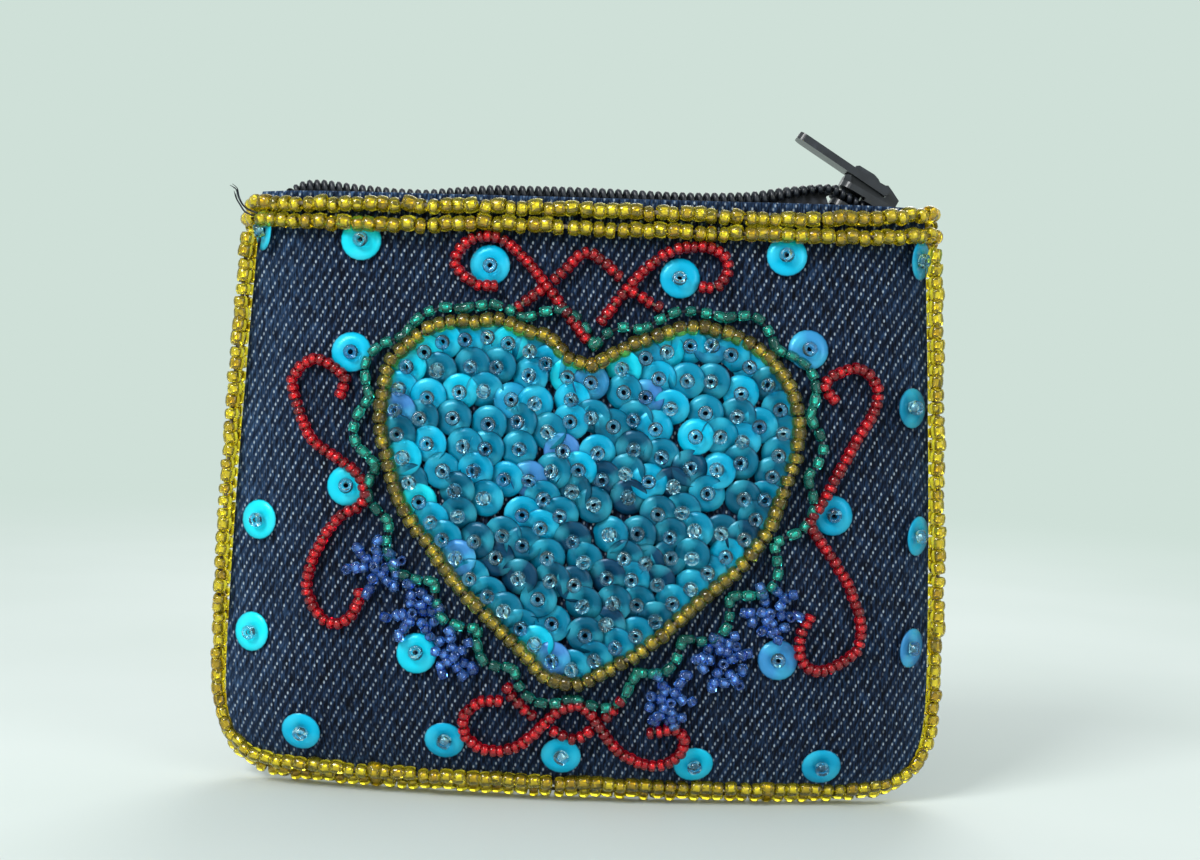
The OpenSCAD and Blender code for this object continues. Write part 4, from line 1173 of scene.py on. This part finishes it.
FLOWERS = {
    "left_upper": (375, 569),
    "left_middle": (414, 614),
    "left_lower": (455, 657),
    "right_upper": (770, 613),
    "right_middle": (722, 663),
    "right_lower": (669, 700),
}
PETALS = 6
PETAL_STEPS = (1.6, 2.85, 4.0)
TIP_MISSING = 0.35
BETWEEN_CHANCE = 0.6
BETWEEN_OUT = 3.1


def flower_plan(centre, dice):
    """Bead middles and their aims for one flower."""
    middles, aims = [], []

    def set_bead(x, z, lift, flat, rise):
        n = panel_normal(x, z, -1)
        middles.append(on_panel(x, z, -1) + n * lift)
        way = Vector((flat[0], 0, flat[1]))
        aims.append((way - n * way.dot(n) + n * rise).normalized())

    set_bead(*centre, FLOWER_BEAD * 1.1, (0.3, 0.2), 1.0)
    turn = dice.uniform(0, 1)
    for k in range(PETALS):
        angle = 2 * math.pi * (k + turn) / PETALS + dice.uniform(-0.3, 0.3)
        way = (math.cos(angle), math.sin(angle))
        for step in PETAL_STEPS:
            if step == PETAL_STEPS[-1] and dice.random() < TIP_MISSING:
                continue
            reach = step + dice.uniform(-0.3, 0.3)
            x, z = centre[0] + way[0] * reach, centre[1] + way[1] * reach
            skew = dice.uniform(-1.6, 1.6)
            flat = (way[0] - way[1] * skew, way[1] + way[0] * skew)
            lift = BEAD_SEAT + FLOWER_BEAD / 2 + dice.uniform(0, 0.45)
            set_bead(x, z, lift, flat, dice.uniform(-0.3, 0.9))
        if dice.random() < BETWEEN_CHANCE:
            half = angle + math.pi / PETALS
            x = centre[0] + math.cos(half) * BETWEEN_OUT
            z = centre[1] + math.sin(half) * BETWEEN_OUT
            way = (math.cos(half + 1.2), math.sin(half + 1.2))
            set_bead(x, z, BEAD_SEAT + FLOWER_BEAD / 2, way, dice.uniform(0, 0.9))
    return middles, aims


FLOWER_BEADS = dict(
    glass=BLUE, slot="blue_beads", size=FLOWER_BEAD, hole=0.42, lean=0.5, uneven=0.2, stray=0.2
)
for seed, (where, px) in enumerate(FLOWERS.items()):
    middles, aims = flower_plan(place(px), random.Random(51 + seed))
    name = f"flower_cluster_{where}"
    sew_beads(name, middles, aims, 61 + seed, f"flower_{where}", **FLOWER_BEADS)


# Sequins

SCALE_LEAN = Vector((-0.13, 0, -0.2))


def inside_heart(p, room):
    """Whether a place is in the heart and clear of its outline."""
    x, z = p
    hit = False
    near = 1e9
    n = len(heart_places)
    for i in range(n):
        (ax, az), (bx, bz) = heart_places[i], heart_places[(i + 1) % n]
        if (az > z) != (bz > z) and x < ax + (bx - ax) * (z - az) / (bz - az):
            hit = not hit
        dx, dz = bx - ax, bz - az
        t = clamp(((x - ax) * dx + (z - az) * dz) / (dx * dx + dz * dz))
        near = min(near, math.hypot(x - ax - dx * t, z - az - dz * t))
    return hit and near >= room


DARTS = 9000
RIM_ROOM = 0.93


def scatter_in_heart(spacing, room, dice):
    """Places in the heart: a row along the outline, then darts that keep a least distance."""
    kept = []

    def keep(p, least):
        if all(math.hypot(p[0] - q[0], p[1] - q[1]) >= spacing for q in kept):
            if inside_heart(p, least):
                kept.append(p)

    rim = smooth(heart_places, True, 12)
    for a, b in zip(rim, rim[1:]):
        along = math.hypot(b[0] - a[0], b[1] - a[1])
        inset = room + dice.uniform(0, 0.25)
        inward = (-(b[1] - a[1]) / along * inset, (b[0] - a[0]) / along * inset)
        keep((a[0] + inward[0], a[1] + inward[1]), room * RIM_ROOM)
    lo = [min(p[k] for p in heart_places) for k in (0, 1)]
    hi = [max(p[k] for p in heart_places) for k in (0, 1)]
    for _ in range(DARTS):
        keep((dice.uniform(lo[0], hi[0]), dice.uniform(lo[1], hi[1])), room)
    return kept


# a sequin nearer to the edge than this folds round it, this much for each millimetre
FOLD_FROM, FOLD = 4.6, 0.36
FRONT = Vector((0, -0.3, 0))


def sequin_plan(places, dice, lift, spread, lean, shade):
    """Sequin middles, the way their backs face, and each one's tone with its painted light and shade.
    """
    middles, aims, tones = [], [], []
    for p in places:
        n = panel_normal(*p, -1)
        tip = Vector((dice.gauss(0, spread), 0, dice.gauss(0, spread)))
        fold = max(0, abs(p[0]) - half_w(p[1]) + FOLD_FROM) * FOLD
        tip.x += math.copysign(fold, p[0])
        aim = (n + FRONT + lean + tip).normalized()
        middles.append(on_panel(*p, -1) + n * (lift + dice.uniform(0, 0.3)))
        aims.append(aim)
        tones.append(shade(p, dice))
    return middles, aims, tones


HEART_LOW = 40


def heart_painted_light_and_tone(p, dice):
    """Painted light and shade: sequins high up, near the outline and to the left are painted
    brighter, the middle darker, each with a random tone as well.
    """
    height = (p[1] - HEART_LOW) / HEART_LOW
    rim = 0.2 if not inside_heart(p, 5.0) else 0.0
    left = -0.004 * p[0]
    return float(clamp(0.3 + 0.28 * height + rim + left + dice.gauss(0, 0.2)))


def loose_painted_light_and_tone(p, dice):
    """Painted light: loose sequins are painted brighter towards the left, each with a random tone as
    well.
    """
    return float(clamp(0.72 - p[0] * 0.004 + dice.gauss(0, 0.08)))


STOP_BEADS = dict(
    glass=AQUA, slot="aqua_beads", size=STOP_BEAD, hole=0.36, lean=0.45, uneven=0.16, stray=0.12
)


def sew_sequins(name, node, places, seed, lift, spread, lean, hold, across, shade):
    """Sequins, and the bead that holds each of them down at its hold above it."""
    dice = random.Random(seed)
    middles, aims, tones = sequin_plan(places, dice, lift, spread, lean, shade)
    plan = line_mesh([[m] for m in middles], aim=aims, tint=tones)
    film = grow(f"{name}_film", plan, SEQUINS, Diameter=across * MM, Film=FILM)
    on_purse(film, f"{node}_sequins")
    seats = [m + a * hold for m, a in zip(middles, aims)]
    sew_beads(f"{name}_stops", seats, aims, seed + 3, f"{node}_sequin_beads", **STOP_BEADS)


sew_sequins(
    "heart_scales", "heart", scatter_in_heart(spacing=3.15, room=2.25, dice=random.Random(71)),
    seed=72, lift=0.55, spread=0.13, lean=SCALE_LEAN, hold=1.15, across=HEART_SEQUIN_D,
    shade=heart_painted_light_and_tone,
)

LOOSE_PX = [
    (253, 230), (361, 240), (490, 265), (680, 279), (787, 257), (931, 262), (351, 352),
    (808, 351), (912, 410), (346, 486), (256, 522), (833, 517), (919, 540), (246, 637),
    (416, 654), (778, 662), (914, 655), (296, 736), (443, 742), (560, 757), (693, 767),
    (823, 772),
]
EDGE_ROOM = 1.4


def loose_place(px):
    """A loose sequin's place, kept on the cloth."""
    x, z = place(px)
    margin = SEQUIN_D / 2 + 0.3
    room = half_w(z) - EDGE_ROOM
    return max(-room, min(room, x)), max(SEAM_Z + margin, z)


sew_sequins(
    "loose_scatter", "loose", [loose_place(p) for p in LOOSE_PX], seed=81, lift=0.3, spread=0.06,
    lean=Vector((0, 0, 0)), hold=0.8, across=SEQUIN_D, shade=loose_painted_light_and_tone,
)


# The zip

SLIDER_SHARE = 0.814
SLIDER_X = SLIDER_SHARE * MOUTH_W / 2
SLIDER_Z = mouth_line(SLIDER_X) + 0.1
SLIDER_SLOPE = math.tan(SLIDER_LEAN)
# the tapes go this far under the slider's middle, from this far before its nose
SLIDER_UNDER = 2.27
BESIDE_SLIDER = 1.65
NOSE_X = SLIDER_X - SLIDER_L / 2 * math.cos(SLIDER_LEAN)
TAIL_X = SLIDER_X + SLIDER_L / 2 * math.cos(SLIDER_LEAN)
COIL_LEFT = -0.9 * MOUTH_W / 2
COIL_TAIL = 0.55
COIL_RIGHT = TAIL_X - COIL_TAIL
COIL_GAP = 0.1
COIL_REST = COIL_T / 2 + LAYER_GAP + TAPE_T + COIL_GAP
COIL_JOIN = (COIL_W + COIL_GAP) / 2
WEDGE_HALF = 0.95
COIL_SPREAD = COIL_JOIN + COIL_GAP / 2 + WEDGE_HALF
COIL_SPLAY_SHARE = 0.28
TWIST = 0.14 * MOUTH_W
COIL_RISE_SHARES = [
    (-0.9, 0.5), (-0.87, 0.78), (-0.82, 0.82), (-0.73, 0.58), (-0.6, 0.34), (-0.5, 0.3),
    (-0.39, 0.55), (-0.3, 0.72), (-0.1, 0.74), (0.05, 0.7), (0.2, 0.6), (0.3, 0.58), (0.4, 0.64),
    (0.5, 0.76), (0.6, 0.9), (0.68, 1.04),
]


def laid(x):
    """How far the coil has turned over to lie flat in the slider, from 0 to 1."""
    return ease(clamp((x - NOSE_X + TWIST) / (TWIST - COIL_TAIL)))


def lip_gap(x):
    """Half of the gap between the panels at the mouth line."""
    return half_thick(x, mouth_line(x)) - DENIM_T


def coil_middle(x, side):
    """The middle of one row of the coil."""
    t = laid(x)
    free_z = mouth_line(x) + between(COIL_RISE_SHARES, 2 * x / MOUTH_W) * COIL_W - COIL_W / 2
    held_z = SLIDER_Z - (max(x, NOSE_X - COIL_TAIL) - SLIDER_X) * SLIDER_SLOPE
    open_y = min(
        lip_gap(x) - COIL_GAP - COIL_T / 2, COIL_REST + (x - COIL_LEFT) * COIL_SPLAY_SHARE
    )
    u = clamp((x - NOSE_X) / (TAIL_X - NOSE_X) * 2)
    held_y = COIL_SPREAD + (COIL_JOIN - COIL_SPREAD) * u
    y = open_y * (1 - t) + held_y * t
    return Vector((x, side * y, free_z * (1 - t) + held_z * t))


def coil_frame(x, side):
    """Which way the coil's heads point, and which way it is thick."""
    t = math.pi / 2 * laid(x)
    lean = SLIDER_LEAN * laid(x)
    up = Vector((math.sin(lean), 0, math.cos(lean)))
    heads = up * math.cos(t) + Vector((0, -side * math.sin(t), 0))
    thick = up * math.sin(t) + Vector((0, side * math.cos(t), 0))
    return heads, thick


# the coil's line is laid through this many stations along its run
COIL_STATIONS = 400
COIL_RUN = COIL_RIGHT - COIL_LEFT
coil_xs = [COIL_LEFT + COIL_RUN * k / COIL_STATIONS for k in range(COIL_STATIONS + 1)]
for side, where in SIDES:
    middles = [coil_middle(x, side) for x in coil_xs]
    heads, thick = zip(*[coil_frame(x, side) for x in coil_xs])
    plan = line_mesh([middles], heads=heads, thick=thick)
    coil = grow(
        f"coil_row_{where}", plan, WOUND_COIL, Wire=WIRE_SEEN * MM, Turns=COIL_TURNS, Nylon=NYLON
    )
    on_purse(coil, f"zip_coil_{where}")
    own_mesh(coil)

TAPE_STEPS = 160
TAPE_ROWS = 10
TAPE_SAG = 0.25


def tape_rows(side):
    """The tape from its sewn edge up to the coil, outer face then inner."""
    left = COIL_LEFT - COIL_TAIL
    outer, inner = [], []
    for i in range(TAPE_STEPS + 1):
        x = left + (TAIL_X - left) * i / TAPE_STEPS
        low_z = mouth_line(x) - TAPE_REACH
        low_y = half_thick(x, low_z) - DENIM_T - LAYER_GAP
        under = SLIDER_Z - (x - SLIDER_X) * SLIDER_SLOPE - SLIDER_UNDER / math.cos(SLIDER_LEAN)
        middle = coil_middle(max(x, COIL_LEFT), side)
        beside = x > NOSE_X - BESIDE_SLIDER
        top_z = min(middle.z, under) if beside else middle.z
        by_coil = abs(middle.y) - COIL_T / 2 - LAYER_GAP
        by_slider = lip_gap(x) - COIL_GAP - COIL_T
        top_y = min(low_y, by_slider if beside else by_coil)
        outer.append([])
        inner.append([])
        for j in range(TAPE_ROWS + 1):
            v = j / TAPE_ROWS
            sag = TAPE_SAG * math.sin(math.pi * v)
            y = low_y + (top_y - low_y) * v + sag
            z = low_z + (top_z - low_z) * v
            outer[-1].append(Vector((x, side * y, z)))
            inner[-1].append(Vector((x, side * (y - TAPE_T), z)))
    return outer, inner


for side, where in SIDES:
    outer, inner = tape_rows(side)
    rows = [o + i[::-1] + o[:1] for o, i in zip(outer, inner)]
    tape_mesh = sheet_mesh(f"tape_{where}", rows)
    square_up(tape_mesh)
    tape_mesh.materials.append(TAPE)
    tape = put(f"tape_strip_{where}", tape_mesh)
    on_purse(tape, f"zip_tape_{where}")
    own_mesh(tape)

TACK_D = 1.2
TACK_TURNS = 11
TACK_STEPS = 10
TACK_INSET = 0.14
TACK_STRAND = 0.15
tack_half = coil_middle(COIL_LEFT, 1).y
tack_at = coil_middle(COIL_LEFT, 0)
tack_x = COIL_LEFT - COIL_WIRE / 2 - TACK_D / 2
ring = TACK_D / 2 - TACK_INSET
tack_line = []
for k in range(TACK_TURNS * TACK_STEPS + 1):
    turn = 2 * math.pi * k / TACK_STEPS
    y = tack_half * (2 * (k / (TACK_TURNS * TACK_STEPS)) - 1)
    tack_line.append(Vector((tack_x + ring * math.cos(turn), y, tack_at.z + ring * math.sin(turn))))
tack_plan = line_mesh([tack_line], girth=[1.0] * len(tack_line))
tack = grow("tack_stitches", tack_plan, STRAND, Radius=TACK_STRAND * MM, Yarn=DARK_THREAD)
on_purse(tack, "zip_end_tack")

THREAD_PX = [
    [(258, 214), (246, 208), (240, 199), (237, 190), (231, 186)],
    [(256, 217), (247, 213), (242, 206), (238, 199), (236, 192)],
]
THREAD_OUT = 4.65
THREAD_APART = 0.6
FRAY = 0.35
TAIL_STRAND = 0.14
tail_dice = random.Random(91)
tail_lines, tail_girth = [], []
for i, pixels in enumerate(THREAD_PX):
    for fibre in range(3):
        fray = [[tail_dice.uniform(-FRAY, FRAY) for _ in range(2)] for _ in range(2)]
        places = smooth([place(p) for p in pixels])
        line = []
        for k, (x, z) in enumerate(places):
            t = k / (len(places) - 1)
            loose = t * t * fibre
            y = -THREAD_OUT - i * THREAD_APART + fray[1][0] * loose
            line.append(Vector((x + fray[0][0] * loose, y, z + fray[0][1] * loose)))
            tail_girth.append((0.75 if fibre else 1.0) * (1 - 0.75 * t**3))
        tail_lines.append(line)
tail_plan = line_mesh(tail_lines, girth=tail_girth)
tail = grow("loose_thread_end", tail_plan, STRAND, Radius=TAIL_STRAND * MM, Yarn=DARK_THREAD)
on_purse(tail, "thread_tail")

for node in ("slider_body", "pull_tab"):
    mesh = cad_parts[node].data
    mesh.materials.clear()
    mesh.materials.append(ENAMEL)


# Light, floor and camera

SKY = "#cfe0d8"


def stage_paint():
    """Matt pale paper under the purse that runs into the pale backdrop with distance."""
    material, tree = new_material("pale_backdrop_paper")
    at = add(tree, "TexCoord", out="Object")
    cloud = add(tree, "TexNoise", {"Vector": at, "Scale": 12.0, "Detail": 2.0})
    colour = add(tree, "ValToRGB", {"Fac": cloud}, stops=[(0.3, "#cdd6d2"), (0.7, "#d3dbd8")])
    shader = add(tree, "BsdfPrincipled", {"Base Color": colour, "Roughness": 0.7})
    far = add(tree, "VectorMath LENGTH", (at,), "Value")
    gone = add(
        tree, "MapRange", {"Value": far, "From Min": 0.12, "From Max": 0.6},
        interpolation_type="SMOOTHSTEP",
    )
    haze = add(tree, "Emission", {"Color": paint(SKY), "Strength": 1.0})
    both = add(tree, "MixShader", (gone, shader, haze))
    add(tree, "OutputMaterial", {"Surface": both})
    return material


FLOOR = 3.0
floor_mesh = bpy.data.meshes.new("floor")
corners = [(x * FLOOR, y * FLOOR, 0) for x, y in ((-1, -1), (1, -1), (1, 1), (-1, 1))]
floor_mesh.from_pydata(corners, [], [(0, 1, 2, 3)])
floor_mesh.materials.append(stage_paint())
put("floor", floor_mesh)

world = bpy.data.worlds.new("studio")
world.use_nodes = True
world.node_tree.nodes.clear()
# the camera sees the plain backdrop, the purse is lit by a softer, greyer one
seen = add(world.node_tree, "Background", {"Color": paint(SKY), "Strength": 1.0})
felt = add(world.node_tree, "Background", {"Color": paint("#e6efee"), "Strength": 0.7})
ray = add(world.node_tree, "LightPath")
sky = add(world.node_tree, "MixShader", (ray, felt, seen))
add(world.node_tree, "OutputWorld", {"Surface": sky})
bpy.context.scene.world = world


def lamp(name, at, towards, width, power):
    """A soft square lamp."""
    data = bpy.data.lights.new(name, "AREA")
    data.energy = power
    data.size = width
    made = put(name, data)
    made.location = at
    made.rotation_euler = (Vector(towards) - Vector(at)).to_track_quat("-Z", "Y").to_euler()


AIM = (0, 0, 0.05)
lamp("key_window", (-0.4, -0.5, 0.55), AIM, 0.3, 5.0)
lamp("fill_window", (0.55, -0.5, 0.3), AIM, 0.4, 1.2)
lamp("back_window", (0.1, 0.6, 0.5), AIM, 0.5, 2.0)

CAMERA_LENS = 50.0
CAMERA_AZIMUTH = math.radians(0.29)
CAMERA_LIFT = math.radians(2.3)
CAMERA_ROLL = math.radians(2.17)
CAMERA_FAR = 253.0
CAMERA_AIM = Vector((2.29, 0, 55.83))

lens = bpy.data.cameras.new("camera")
lens.lens = CAMERA_LENS
lens.sensor_width = 36.0
lens.clip_start = 0.01
camera = put("camera", lens)
level = math.cos(CAMERA_LIFT)
back_way = Vector(
    (math.sin(CAMERA_AZIMUTH) * level, -math.cos(CAMERA_AZIMUTH) * level, math.sin(CAMERA_LIFT))
)
looking = (-back_way).to_track_quat("-Z", "Y").to_matrix().to_4x4()
camera.matrix_world = (
    Matrix.Translation((CAMERA_AIM + back_way * CAMERA_FAR) * MM)
    @ looking
    @ Matrix.Rotation(CAMERA_ROLL, 4, "Z")
)
bpy.context.scene.camera = camera
bpy.context.scene.view_settings.view_transform = "Standard"
